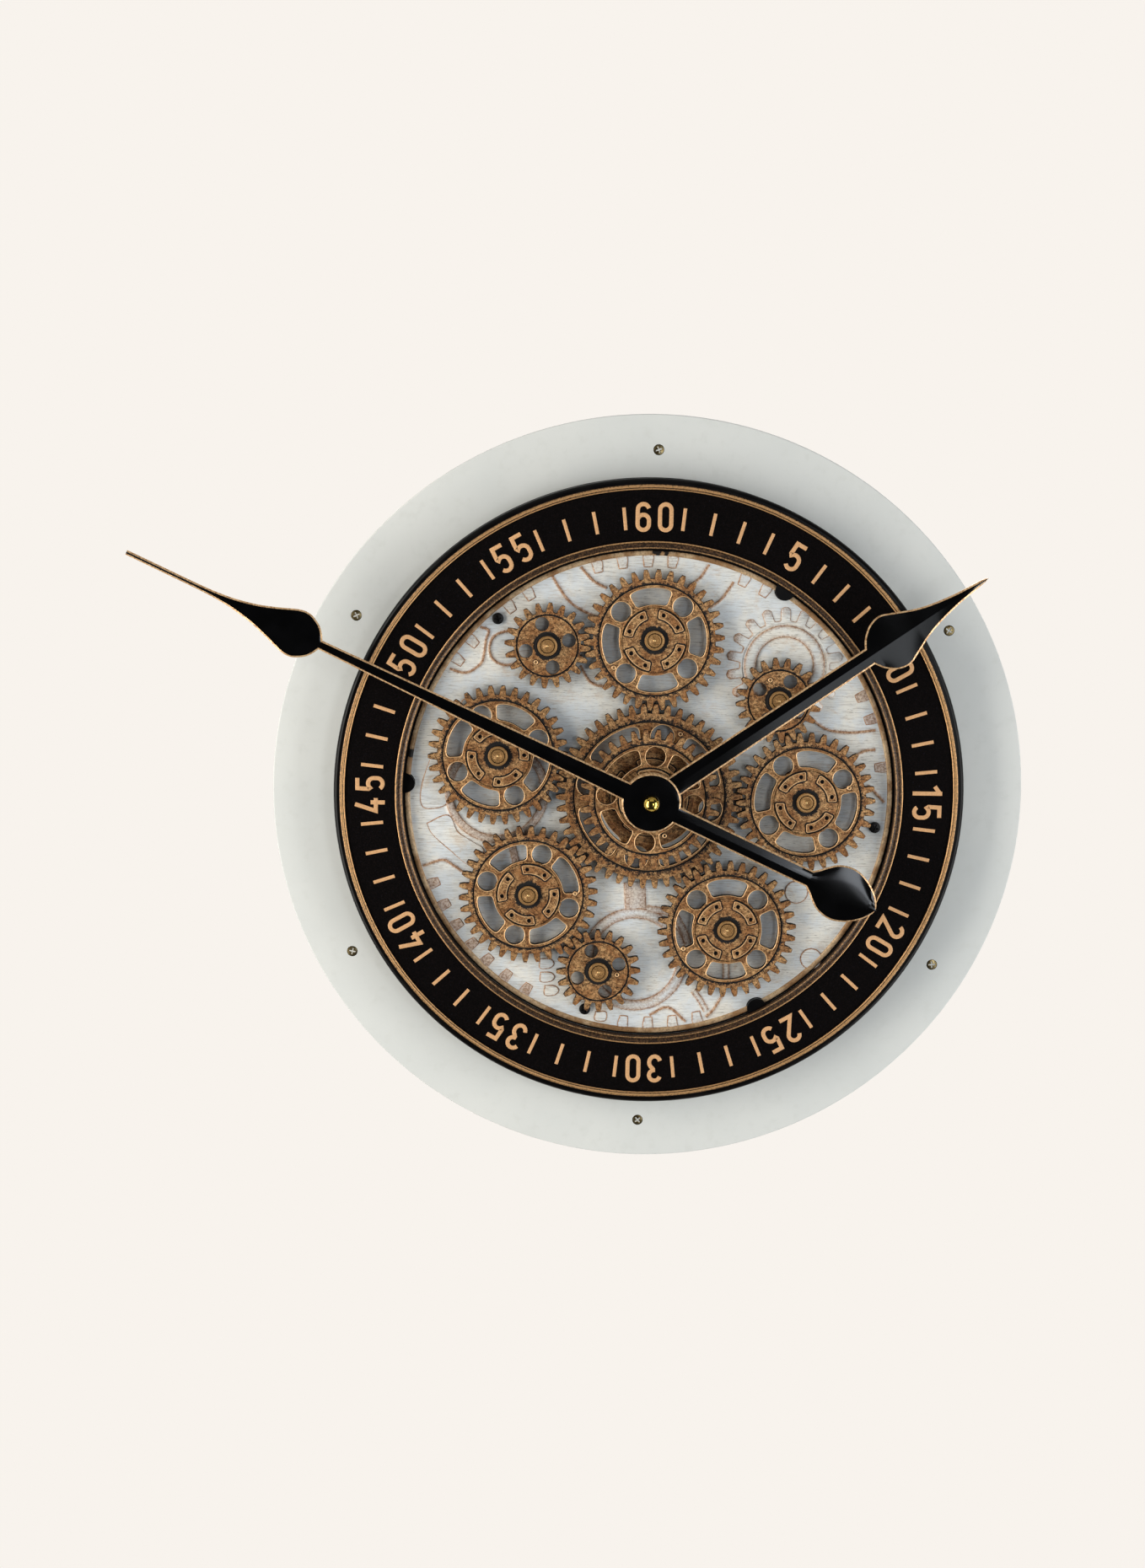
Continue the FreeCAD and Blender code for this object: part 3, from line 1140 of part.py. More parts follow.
def make_motion_work():
    """Minute shaft, motion wheel, hour tube and setting knob, in mesh."""
    teeth = {name: number(name) for name in
             ("centre_pinion_teeth", "motion_teeth", "motion_pinion_teeth", "hour_teeth",
              "knob_teeth")}
    shaft = doc.addObject("PartDesign::Body", "minute_shaft")
    small_wheel(shaft, "centre_pinion", "centre_pinion_teeth", MINUTE_PINION_REAR)
    shaft_pad(shaft, "arbor", "minute_shaft_radius", "%s + movement_wall + seat_gap" % MOVEMENT_REAR,
              "%s + cap_nut_bore_depth - seat_gap" % MINUTE_FRONT)
    stand(shaft)
    keep(shaft, "minute_shaft")
    motion = doc.addObject("PartDesign::Body", "motion_wheel")
    small_wheel(motion, "motion_large", "motion_teeth", MINUTE_PINION_REAR)
    shaft_pad(motion, "motion_boss", root_radius("motion_pinion_teeth", "motion_module"),
              MINUTE_PINION_REAR + " + motion_face", MOTION_PINION_REAR + " + motion_face")
    small_wheel(motion, "motion_small", "motion_pinion_teeth", MOTION_PINION_REAR)
    shaft_bore(motion, "motion_bore", "motion_post_radius + running_gap")
    x, y = (number(text) for text in motion_place())
    turn = meshed_turn(0.0, teeth["motion_teeth"], 0.0, teeth["centre_pinion_teeth"], 270.0)
    stand(motion, turn, x, y)
    keep(motion, "motion_wheel")
    tube = doc.addObject("PartDesign::Body", "hour_tube")
    small_wheel(tube, "hour_wheel", "hour_teeth", MOTION_PINION_REAR)
    shaft_pad(tube, "hour_sleeve", "hour_tube_radius", MOTION_PINION_REAR,
              HOUR_FRONT + " + seat_gap")
    shaft_bore(tube, "hour_bore", "minute_shaft_radius + running_gap")
    hour_turn = meshed_turn(0.0, teeth["hour_teeth"], turn, teeth["motion_pinion_teeth"], 90.0)
    stand(tube, hour_turn)
    keep(tube, "hour_tube")
    knob = doc.addObject("PartDesign::Body", "setting_knob")
    small_wheel(knob, "knob_pinion", "knob_teeth", MINUTE_PINION_REAR)
    shaft_pad(knob, "knob_arbor", "knob_arbor_radius", MOVEMENT_REAR + " - seat_gap",
              MINUTE_PINION_REAR)
    shaft_pad(knob, "knob_head", "knob_radius", MOVEMENT_REAR + " - seat_gap - knob_height",
              MOVEMENT_REAR + " - seat_gap")
    x, y = (number(text) for text in knob_place())
    knob_turn = meshed_turn(0.0, teeth["knob_teeth"], turn, teeth["motion_teeth"],
                            number("knob_direction"))
    stand(knob, knob_turn, x, y)
    keep(knob, "setting_knob")


# Gear drive.
def make_gear_motor():
    """Gearbox with two ears, motor can and the screws of the ears."""
    x, y = wheel_place(DRIVEN_WHEEL)
    rear = "(%s - drive_gearbox_depth)" % FLOOR_REAR
    ear_rear = "(%s - drive_ear_thickness)" % FLOOR_REAR
    ears = []
    for ear_x, ear_y in ear_places():
        ears.append(rod("drive_ear_radius", ear_rear, FLOOR_REAR, ear_x, ear_y))
    bridge = block(("%s - drive_ear_reach" % x, "%s + drive_ear_reach" % x),
                   ("%s - drive_ear_radius" % y, "%s + drive_ear_radius" % y),
                   (ear_rear, FLOOR_REAR))
    solid = join(rod("drive_gearbox_radius", rear, FLOOR_REAR, x, y), bridge, *ears)
    holes = [rod("black_screw_radius + 2 * running_gap", ear_rear + " - overrun",
                 FLOOR_REAR + " + overrun", ear_x, ear_y) for ear_x, ear_y in ear_places()]
    bore = rod("axle_radius + running_gap", "%s - drive_bore_depth" % FLOOR_REAR,
               FLOOR_REAR + " + overrun", x, y)
    finish(cut(solid, bore, *holes), "drive_gearbox")
    finish(group(rod("drive_motor_radius", rear + " - drive_motor_depth", rear, x, y)),
           "drive_motor")
    screws = [join(rod("black_screw_head", ear_rear + " - black_screw_head_height", ear_rear,
                       ear_x, ear_y),
                   rod("black_screw_radius", ear_rear,
                       FLOOR_FRONT + " - seat_gap", ear_x, ear_y))
              for ear_x, ear_y in ear_places()]
    finish(group(*screws), "motor_screws")


def box_sides(margin):
    """Sides of the battery box, taken in by a margin."""
    x = tuple("box_centre_x %s (box_length / 2 - %s)" % (side, margin) for side in ("-", "+"))
    y = tuple("box_centre_y %s (box_height / 2 - %s)" % (side, margin) for side in ("-", "+"))
    return x, y


def make_battery_box():
    """Open tray with two cells, contacts and a lid that pulls off to the rear."""
    tray = block(*box_sides("0"), (BOX_REAR, FLOOR_REAR))
    hollow = block(*box_sides("box_wall"), (BOX_REAR + " - overrun", BOX_INNER))
    finish(cut(tray, hollow), "battery_box")
    depth = "(%s - cell_room - cell_radius)" % BOX_INNER
    rows = ["(box_centre_y %s cell_pitch / 2)" % side for side in ("-", "+")]
    finish(group(*[cell("box_centre_x", y, depth) for y in rows]), "drive_batteries")
    wall = "(box_length / 2 - box_wall)"
    finish(group(*[contact(side, "box_centre_x", wall, y, depth)
                   for y in rows for side in ("-", "+")]), "drive_contacts")
    finish(group(block(*box_sides("0"), (BOX_REAR + " - lid_thickness", BOX_REAR))),
           "battery_lid")


def make_switch():
    """Slide switch on top of the battery box."""
    bottom = "(box_centre_y + box_height / 2)"
    top = "(%s + switch_width)" % bottom
    middle = "(%s + switch_width / 2)" % bottom
    left = "(box_centre_x - switch_length / 2)"
    body = block((left, left + " + switch_length"), (bottom, top),
                 ("switch_setback", "switch_setback + switch_depth"))
    slot_left = "(box_centre_x - switch_slot_length / 2)"
    slot = block((slot_left, slot_left + " + switch_slot_length"),
                 (middle + " - switch_slot_width / 2", middle + " + switch_slot_width / 2"),
                 ("switch_setback - overrun", "switch_setback + switch_slot_depth"))
    finish(cut(body, slot), "switch_body")
    start = "(%s + seat_gap)" % slot_left
    finish(group(block((start, start + " + slider_length"),
                       (middle + " - slider_width / 2", middle + " + slider_width / 2"),
                       ("switch_setback - slider_rise",
                        "switch_setback + switch_slot_depth - seat_gap"))), "switch_slider")


make_backing_ring()
make_mounting_plate()
make_plate_screws()
make_rear_panel()
make_hanger()
make_case_drum()
make_bezels()
make_dial()
make_relief_plate()
wheel_turns = make_open_gears()
make_axles()
make_centre_stack()
make_hands()
make_movement_case()
make_movement_inside()
make_motion_work()
make_gear_motor()
make_battery_box()
make_switch()
doc.recompute()

faults = [thing.Label for thing in doc.Objects
          if "Invalid" in thing.State or "Error" in thing.State]
faults += [node.Label for node in nodes if node.Shape.isNull() or not node.Shape.isValid()]
if faults:
    raise RuntimeError("failed pieces: " + ", ".join(faults))

os.makedirs(OUT, exist_ok=True)
for node in nodes:
    node.Shape.exportStep(os.path.join(OUT, node.Label + ".step"))
    print(node.Label, len(node.Shape.Solids), round(node.Shape.Volume, 1))
print("turns", {name: round(turn, 3) for name, turn in wheel_turns.items()})
print("nodes", len(nodes))
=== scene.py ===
import json
import math

import bmesh
import bpy
import numpy as np
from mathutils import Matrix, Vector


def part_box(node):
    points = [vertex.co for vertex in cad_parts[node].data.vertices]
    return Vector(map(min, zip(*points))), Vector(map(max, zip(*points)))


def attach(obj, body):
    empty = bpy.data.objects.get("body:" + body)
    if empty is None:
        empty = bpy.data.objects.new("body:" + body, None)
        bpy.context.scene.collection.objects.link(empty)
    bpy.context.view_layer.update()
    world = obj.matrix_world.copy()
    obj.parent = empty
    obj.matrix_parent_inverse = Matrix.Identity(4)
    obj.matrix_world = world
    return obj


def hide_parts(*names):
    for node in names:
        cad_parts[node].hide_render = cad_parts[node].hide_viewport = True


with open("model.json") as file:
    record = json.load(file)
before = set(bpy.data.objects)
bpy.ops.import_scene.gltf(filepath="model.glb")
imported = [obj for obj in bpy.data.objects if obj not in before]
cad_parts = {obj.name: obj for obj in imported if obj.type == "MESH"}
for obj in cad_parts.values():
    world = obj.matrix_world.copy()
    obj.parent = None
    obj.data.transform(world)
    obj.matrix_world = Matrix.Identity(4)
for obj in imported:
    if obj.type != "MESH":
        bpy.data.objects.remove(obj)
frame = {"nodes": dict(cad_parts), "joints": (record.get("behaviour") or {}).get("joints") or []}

bl_info = {
    "name": "Gear clock",
    "version": (1, 0, 0),
    "blender": (4, 5, 0),
    "location": "3D View > Sidebar > Gear clock",
    "description": "Surfaces and finishes of a wall clock with open gears",
    "category": "Object",
}

# Shapes are worked out in millimetres as (x to the right, height, depth in front of the wall).
MM = 0.001
WELD = 8e-6

# Pitch of the open gears and of their teeth: module, rise above and drop below the pitch
# circle, and half widths at root, pitch circle and tip.
MODULE = 1.96
TOOTH_TOP = 0.90 * MODULE
TOOTH_ROOT = 1.45 * MODULE
TOOTH_HALVES = (0.95 * MODULE, 0.74 * MODULE, 0.42 * MODULE)
SAMPLES = 8

# Forms of the gears: hole radius and circle, how many eighths of a tooth the part of the web
# round a hole takes, slot (inner, outer, half angle), web (inner, outer), hub, bars, groove.
FORMS = {
    "wheel": dict(teeth=34, hole=(4.95, 21.7), share=26, slot=(17.65, 25.9, 24.5),
                  web=(17.2, 27.1), hub=16.95, bars=(10.9, 15.4), groove=27.6),
    "large": dict(teeth=46, hole=(5.75, 31.2), share=32, slot=(25.3, 36.4, 24.0),
                  web=(22.75, 37.3), hub=22.5, bars=(15.0, 19.4), groove=37.8),
    "pinion": dict(teeth=20, hole=(3.45, 11.05), share=40, slot=None,
                   web=(7.0, 14.7), hub=5.9, bars=None, groove=15.15),
}
# Gears: form, joint that turns it, turn at rest clockwise from the top, and its small pins,
# each as (distance from the axle, angle).
GEARS = {
    "gear_centre_large": ("large", "centre_gears_turn", 11.0, [(35.2, 14.0), (33.6, 203.5)]),
    "gear_centre_front": ("wheel", "centre_gears_turn", 6.0, [(19.6, 151.4)]),
    "gear_top": ("wheel", "top_gear_turn", 129.706, [(24.3, 105.4)]),
    "gear_left": ("wheel", "left_gear_turn", 67.353, [(24.0, 16.6)]),
    "gear_lower_left": ("wheel", "lower_left_gear_turn", 287.824, [(23.6, 160.0)]),
    "gear_lower_right": ("wheel", "lower_right_gear_turn", 44.529, [(24.0, 200.6)]),
    "gear_right": ("wheel", "right_gear_turn", 56.765, [(22.8, 14.0)]),
    "pinion_upper_left": ("pinion", "upper_left_pinion_turn", 255.51, [(10.0, 318.8)]),
    "pinion_bottom": ("pinion", "bottom_pinion_turn", 160.68, [(9.6, 299.0)]),
    "pinion_upper_right": ("pinion", "upper_right_pinion_turn", 30.22, [(11.2, 306.0)]),
}
DRIVEN = "gear_lower_right"

# Outlines of the hands: distance from the shaft, half width.
MINUTE_SPADE = [(179.0, 2.3), (180.6, 5.1), (182.6, 7.6), (184.9, 9.4), (188.7, 11.3),
                (192.0, 11.8), (196.0, 11.1), (200.9, 9.3), (204.9, 7.8), (209.0, 6.4),
                (213.0, 5.1), (217.0, 4.1), (221.0, 3.3), (225.0, 2.55), (229.0, 2.05),
                (233.0, 1.7), (237.0, 1.45), (245.3, 1.25), (264.0, 1.2), (281.9, 1.15)]
TAIL_LEAF = [(87.3, 4.3), (88.6, 5.3), (90.4, 6.7), (92.6, 8.8), (96.6, 12.0), (100.9, 13.6),
             (105.1, 14.1), (109.3, 13.4), (113.6, 11.6), (117.8, 8.8), (121.2, 5.5),
             (123.4, 2.2), (124.0, 0.0)]
HOUR_SPADE = [(128.7, 4.4), (130.0, 6.6), (132.0, 9.2), (136.1, 12.5), (140.6, 14.1),
              (144.3, 14.0), (148.3, 12.3), (152.4, 10.4), (156.5, 8.5), (160.6, 6.9),
              (164.7, 5.6), (168.8, 4.6), (172.8, 3.75), (176.9, 3.0), (180.9, 2.4),
              (189.1, 1.5), (195.0, 0.8), (197.4, 0.0)]

# Relief motifs behind the gears: rings as (x, height, radius, width, stain), bands as (width,
# stain, points), discs, thin lines, and panels by their corners. Stain is how tan the top is.
RIM_TEETH = (346.4, 352.5, 358.7, 4.6, 328.5, 322.9, 310.5, 304.8, 246.8, 240.8, 234.9, 228.8,
             223.2, 217.1, 211.0, 185.3, 179.1, 173.0, 166.8, 64.1, 70.1, 82.3, 22.6, 28.3)
RELIEF_RINGS = [(66.5, 66.3, 17.2, 5.6, 0.0), (-76.7, 1.0, 24.2, 3.6, 0.5),
                (-5.7, -84.5, 24.0, 5.0, 0.3)]
RELIEF_BANDS = [(10.4, 0.45, [(-6.4, -44.6), (-5.6, -58.0)]),
                (3.2, 0.45, [(0.0, -58.2), (12.0, -60.2), (17.5, -66.5), (21.5, -76.0)]),
                (3.0, 0.3, [(41.0, -82.0), (41.2, -97.0)]),
                (3.2, 0.6, [(-69.0, -25.0), (-66.0, -37.0)]),
                (2.6, 0.35, [(24.5, -100.5), (28.0, -105.0), (31.5, -111.0)])]
RELIEF_DISCS = [(75.8, -48.7, 6.0), (84.3, -83.2, 5.6), (-92.0, 45.0, 3.0)]
# Cog: x, height, teeth, radius at root and tip. Tooth at the rim: half width at its middle circle,
# and radii of its foot and head. Thin lines: width, and stain, their tan-brown top standing for a
# tan wash with the painted shade of a step's edge. Skirt of a raised strip.
RELIEF_COG = (66.5, 66.3, 18, 22.6, 29.4)
RIM_TOOTH_HALF, RIM_TOOTH_MIDDLE, RIM_TOOTH_REACH = 2.6, 117.4, (114.4, 120.6)
LINE_WIDTH, LINE_SHADE_AND_STAIN, SKIRT, STRIP_CORNER = 0.8, 0.9, 2.0, 0.16
RELIEF_LINES = [
    [(-35.9, 114.2), (-32.8, 110.5), (-28.8, 106.8), (-23.1, 103.8)],
    [(27.8, 116.1), (25.7, 112.9), (23.0, 109.2), (17.9, 105.2)],
    [(40.1, 107.7), (36.8, 102.6), (33.7, 98.6), (28.6, 94.9)],
    [(-50.0, 109.4), (-46.4, 103.5), (-42.3, 97.9), (-38.2, 94.4), (-32.5, 91.3),
     (-27.3, 89.2)],
    [(80.9, 39.8), (85.5, 36.2), (91.3, 33.8), (101.9, 33.1), (113.2, 34.5)],
    [(102.7, 20.9), (107.9, 23.8), (113.5, 24.7)],
    [(110.4, 6.4), (114.6, 2.2), (118.8, -2.1)],
    [(-100.6, 62.6), (-92.5, 60.7), (-85.3, 65.2), (-83.4, 70.9), (-82.6, 77.3),
     (-81.4, 82.0), (-85.5, 83.7)],
    [(-66.0, 80.4), (-72.0, 81.7), (-78.4, 79.3), (-80.9, 73.6), (-79.2, 67.8), (-73.6, 64.8),
     (-67.0, 65.8)],
    [(-35.4, 65.1), (-33.3, 61.0), (-30.4, 57.0), (-26.3, 55.1), (-21.3, 54.9)],
    [(-113.5, -37.5), (-103.7, -34.3), (-98.4, -36.9), (-90.6, -42.2)],
    [(18.6, -94.5), (15.4, -100.0), (8.9, -103.5), (2.3, -105.3)],
    [(2.5, -113.7), (11.9, -109.4), (21.1, -116.9)],
    [(40.2, -101.4), (35.4, -110.0), (31.4, -114.2)],
]
RELIEF_PANELS = [
    [(-109.2, 19.9), (-113.8, 7.0), (-115.2, -3.3), (-112.4, -8.3), (-102.2, -6.4),
     (-100.8, 2.0), (-103.0, 12.0)],
    [(-111.9, -15.6), (-103.8, -11.4), (-99.7, -12.1), (-96.0, -19.5), (-87.8, -25.2),
     (-82.5, -29.5), (-88.6, -37.6), (-100.0, -29.5), (-109.0, -21.3)],
    [(-54.0, -84.6), (-48.6, -84.6), (-46.4, -87.2), (-48.6, -89.8), (-54.0, -89.8)],
    [(-53.6, -91.6), (-48.2, -91.6), (-46.0, -94.2), (-48.2, -96.8), (-53.6, -96.8)],
    [(-51.4, -98.6), (-46.0, -98.6), (-43.8, -101.2), (-46.0, -103.8), (-51.4, -103.8)],
    [(-25.2, -111.8), (-19.6, -112.0), (-19.9, -117.0), (-25.6, -116.6)],
]
DARK_BITS = ((1.7, 122.0), (6.3, 122.1), (-119.8, 19.7))

# Gears: drop of the groove under the face, radii where the dark wash round the axle ends and is
# full, corner and half angle of a bar, and angle of a bar's pit. Bores on posts and on the bush.
GROOVE_DEPTH, WASH_END, WASH_FULL = 0.45, 8.8, 4.6
BAR_CORNER, BAR_HALF_ANGLE, PIT_ANGLE = 0.8, 31.5, 20.5
POST_BORE, BUSH_BORE = 2.6, 5.05
# A pin on a gear: (radius, height over the face), its painted shade in the pit and at the foot, and
# its painted highlight on the crest.
PIN = [(0.0, -0.2), (0.45, -0.1), (0.6, 0.4), (0.95, 0.5), (1.2, 0.3), (1.5, 0.02), (0.0, -0.3)]
PIN_SHADE, PIN_HIGHLIGHT = [1.6, 1.6, .2, 0, .3, 1.8, 0], [0, 0, .8, 1, .4, 0, 0]
# Cap of an axle: (radius, height over its top) of its rings, its painted shade (in the grooves, the
# dimple and under the cap) and painted highlight (on its middle and rim) with those of the shank
# and foot, radius of the shank and of the cap, and height of the cap.
CAP = [(0.0, -0.25), (0.35, -0.3), (0.7, -0.55), (1.1, -0.5), (1.9, -0.12), (2.9, 0.0),
       (3.2, -0.05), (3.35, -0.35), (3.55, -0.35), (3.7, -0.1), (4.3, 0.0), (4.7, -0.12),
       (4.95, -0.45)]
CAP_HIGHLIGHT = np.array([1, .9, .3, .1, .2, .3, .2, 0, 0, .3, .6, .5, .1, 0, 0, 0, 0, 0, 0])
CAP_SHADE = np.array([0, 0, .5, .4, .1, 0, .3, .9, .9, .3, 0, .1, .5, 1, 1, 0, 0, 0, 0])
SHANK_RADIUS, CAP_RADIUS, CAP_HEIGHT = 2.5, 5.0, 1.9
# Board: radius of its hole and edge, and how far its edge lies lower than its hole.
BOARD_HOLE, BOARD_EDGE, BOARD_LOW = 158.6, 190.3, 0.6
# Drum: radius of its wall outside and inside, its flange, its lip and the seat of the minute
# ring. Depths of its floor, from rear to front, and of its flange. Thickness of the seat.
DRUM_WALL, DRUM_BORE, DRUM_FLANGE, DRUM_LIP, DRUM_SEAT = 158.3, 155.8, 163.3, 155.4, 147.8
FLOOR_REAR, FLOOR_FRONT, FLANGE_FRONT, SEAT_THICKNESS = 23.5, 26.0, 12.0, 2.0
# Bezels: radius, depth from the rim's front, or at the minute ring's face or the bezel's back, and
# how bright the bronze is: rubbed bronze with a painted highlight on the crests of the beads.
BEZELS = {
    "outer_bezel": [
        (152.6, "dial", 0), (152.6, -0.35, .3), (152.75, -0.12, .9), (153.0, 0, 1),
        (153.25, -0.08, .7), (153.4, -0.3, .2), (153.6, -0.3, .5), (153.8, -0.1, .9),
        (154.5, 0, .9), (154.95, -0.06, .7), (155.25, -0.3, .4), (155.25, "back", 0),
        (154.05, "back", 0), (154.05, "dial", 0), (152.6, "dial", 0)],
    "inner_bezel": [
        (127.5, "dial", 0), (127.5, -0.35, .3), (127.35, -0.1, .9), (127.05, 0, .9),
        (126.75, -0.1, .6), (126.45, -0.42, .1), (125.6, -0.5, .3), (124.75, -0.42, .1),
        (124.5, -0.1, .5), (124.2, 0, .8), (123.85, -0.08, .6), (123.7, -0.35, .2),
        (123.7, "back", 0), (124.8, "back", 0), (124.8, "dial", 0), (127.5, "dial", 0)],
}
# Minute ring: shift of the print, reach of a bar, numerals' base, half width, pitch and height,
# and angle, circle and radius of the posts.
PRINT_SHIFT, BAR_REACH = (-0.1, -0.66), (134.0, 145.1)
DIGIT_BASE, DIGIT_HALF, DIGIT_PITCH, DIGIT_HEIGHT = 132.5, 2.8, 11.0, 14.7
POST_ANGLE, POST_CIRCLE, POST_RADIUS = 32.3, 123.0, 5.0
# Screws: name, slot, finish, places as (angle, distance), head's radius and place over the
# solid's front, shank's radius, dome, turn of the first slot and from one screw to the next.
SCREWS = {
    "plate_screws": ("board_screws", "brass", "screw_brass",
                     [(0.7 + 60.0 * k, 172.2) for k in range(6)], 2.7, 0.02, 1.6, 0.35, 20.0, 37.0),
    "relief_screws": ("relief_screws_black", "black_steel", "black_steel",
                      [(318.9, 116.84), (97.4, 115.3), (195.5, 114.7)],
                      2.85, -0.5, 1.5, 0.5, 12.0, 50.0),
}
# Hands: body, tail, half width of the arm, blade, angle clockwise from the top.
HANDS = {"minute_hand": ("minute", TAIL_LEAF, 4.6, MINUTE_SPADE, 295.0),
         "hour_hand": ("hour", None, 5.2, HOUR_SPADE, 55.3)}
HUB_RADIUS, NUT_RADIUS, HAND_CREASE = 14.6, 4.1, 6.0
# Lights: place and size in metres, the setting that gives the power, its share, and colour.
LIGHTS = {
    "left_light": ((-1.10, -0.60, 0.0), (0.6, 1.7), "key", 1.0, (1.0, 0.97, 0.92)),
    "right_light": ((1.10, -0.60, -0.30), (0.6, 1.7), "fill", 1.0, (0.98, 0.99, 1.0)),
    "top_light": ((0.0, -0.7, 1.25), (1.3, 0.8), "top", 1.0, (1.0, 1.0, 1.0)),
    "rear_light": ((0.5, 1.3, 0.5), (1.2, 1.2), "rear", 1.0, (1.0, 1.0, 1.0)),
    "glint": ((0.46, -1.15, 0.12), (0.26, 0.34), "glint", 1.0, (0.88, 0.93, 1.0)),
    "low_glint": ((0.42, -1.15, -0.24), (0.16, 0.36), "glint", 0.2, (0.9, 0.95, 1.0)),
}
LIT_POINT = (0.0, -0.03, 0.0)
# Camera: focal length and picture height in pixels, sensor, place in metres, turn in degrees.
FOCAL, PICTURE_HEIGHT, SENSOR = 2527.56, 1860.0, 36.0
CAMERA_PLACE, CAMERA_TURN = (-0.0525, -1.0894, 0.1584), (81.788, -0.8203, -0.6356)
# Floor: half width and height in metres, its tone, and where it fades out. Backdrop's tone.
FLOOR_HALF, FLOOR_LOW, FLOOR_TONE, FLOOR_FADE = 0.9, -0.62, (240, 236, 228), (60.0, 330.0)
BACKDROP_TONE = (248, 243, 237)
# Parts of a full circle on small round pieces, and the stretch of a pattern that has none.
SIDES = 64
ALIKE = (1.0, 1.0, 1.0)


# Numbers and places.
def span(node):
    """Rear and front of a CAD node, in millimetres in front of the wall."""
    low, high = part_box(node)
    return -high.y / MM, -low.y / MM


def joint_place(name):
    """Middle of a joint as (x, height)."""
    place = next(joint["pos_m"] for joint in frame["joints"] if joint["name"] == name)
    return place[0] / MM, place[2] / MM


def clockwise(angle, radius):
    """x = r sin a, height = r cos a, with a in degrees clockwise from the top."""
    turn = np.radians(angle)
    return radius * np.sin(turn), radius * np.cos(turn)


def circle(angle, radius, middle=(0.0, 0.0)):
    """Points on a circle about a middle, as (x, height)."""
    return np.stack(clockwise(angle, radius), -1) + middle


def ease(low, high, value):
    """Smooth step 3t^2 - 2t^3 from 0 at low to 1 at high."""
    t = np.clip((value - low) / (high - low), 0.0, 1.0)
    return t * t * (3 - 2 * t)


def bell(value, middle, width):
    """exp(-((v - m) / w)^2)."""
    return np.exp(-((value - middle) / width) ** 2)


def smooth_line(points, steps=4):
    """Catmull-Rom curve through points, with so many steps between two of them."""
    p = np.asarray(points, float)
    p = np.vstack([2 * p[0] - p[1], p, 2 * p[-1] - p[-2]])
    t = (np.arange(steps) / steps)[:, None]
    a, b, c, d = (p[i:len(p) - 3 + i, None, :] for i in range(4))
    curve = 0.5 * (2 * b + (c - a) * t + (2 * a - 5 * b + 4 * c - d) * t ** 2
                   + (3 * b - a - 3 * c + d) * t ** 3)
    return np.vstack([curve.reshape(-1, p.shape[1]), p[-2]])


def normals(line, closed=False):
    """Unit normals to the right of a line in the plane, lengthened at its corners."""
    ahead = np.roll(line, -1, 0) - line
    back = line - np.roll(line, 1, 0)
    if not closed:
        ahead[-1], back[0] = back[-1], ahead[0]
    ahead, back = (v / np.maximum(np.hypot(*v.T), 1e-9)[:, None] for v in (ahead, back))
    middle = ahead + back
    middle /= np.maximum(np.hypot(*middle.T), 1e-6)[:, None]
    stretch = np.maximum((middle * ahead).sum(1), 0.5)
    return np.stack([middle[:, 1], -middle[:, 0]], 1) / stretch[:, None]


# Surfaces.
def grid_of(plane, depth):
    """Rows of points in the plane and a depth for each row, as one grid."""
    plane = np.asarray(plane, float)
    depth = np.broadcast_to(np.reshape(depth, (-1, 1) if np.ndim(depth) < 2 else np.shape(depth)),
                            plane.shape[:2])
    return np.concatenate([plane, depth[..., None]], -1)


def revolved(profile, steps, middle=(0.0, 0.0)):
    """Surface (r(s) sin t, r(s) cos t, d(s)) of a profile of radii and depths."""
    profile = np.asarray(profile, float)
    x, y = clockwise(np.arange(steps)[:, None] * 360 / steps, profile[None, :, 0])
    depth = np.broadcast_to(profile[:, 1], x.shape)
    return np.stack([x + middle[0], y + middle[1], depth], -1)


def carried(line, profile, closed=False):
    """Closed profile of (offset, depth) carried along a line in the plane, its ends shut."""
    line = np.asarray(line, float)
    side = normals(line, closed)
    offset, depth = np.asarray(profile, float).T
    plane = line[None] + offset[:, None, None] * side[None]
    grid = np.concatenate([plane, np.broadcast_to(depth[:, None, None],
                                                  plane.shape[:2] + (1,))], -1)
    if closed:
        return np.concatenate([grid, grid[:, :1]], 1)
    ends = [np.broadcast_to(grid[:, [k]].mean(0, keepdims=True), grid[:, :1].shape)
            for k in (0, -1)]
    return np.concatenate([ends[0], grid, ends[1]], 1)


def rounded(radius, front, soft, steps):
    """Quarter round of a radius from the wall to the face in front, as (r, depth)."""
    return [(radius - soft + soft * math.cos(a), front - soft + soft * math.sin(a))
            for a in np.radians(np.linspace(0, 90, steps))]


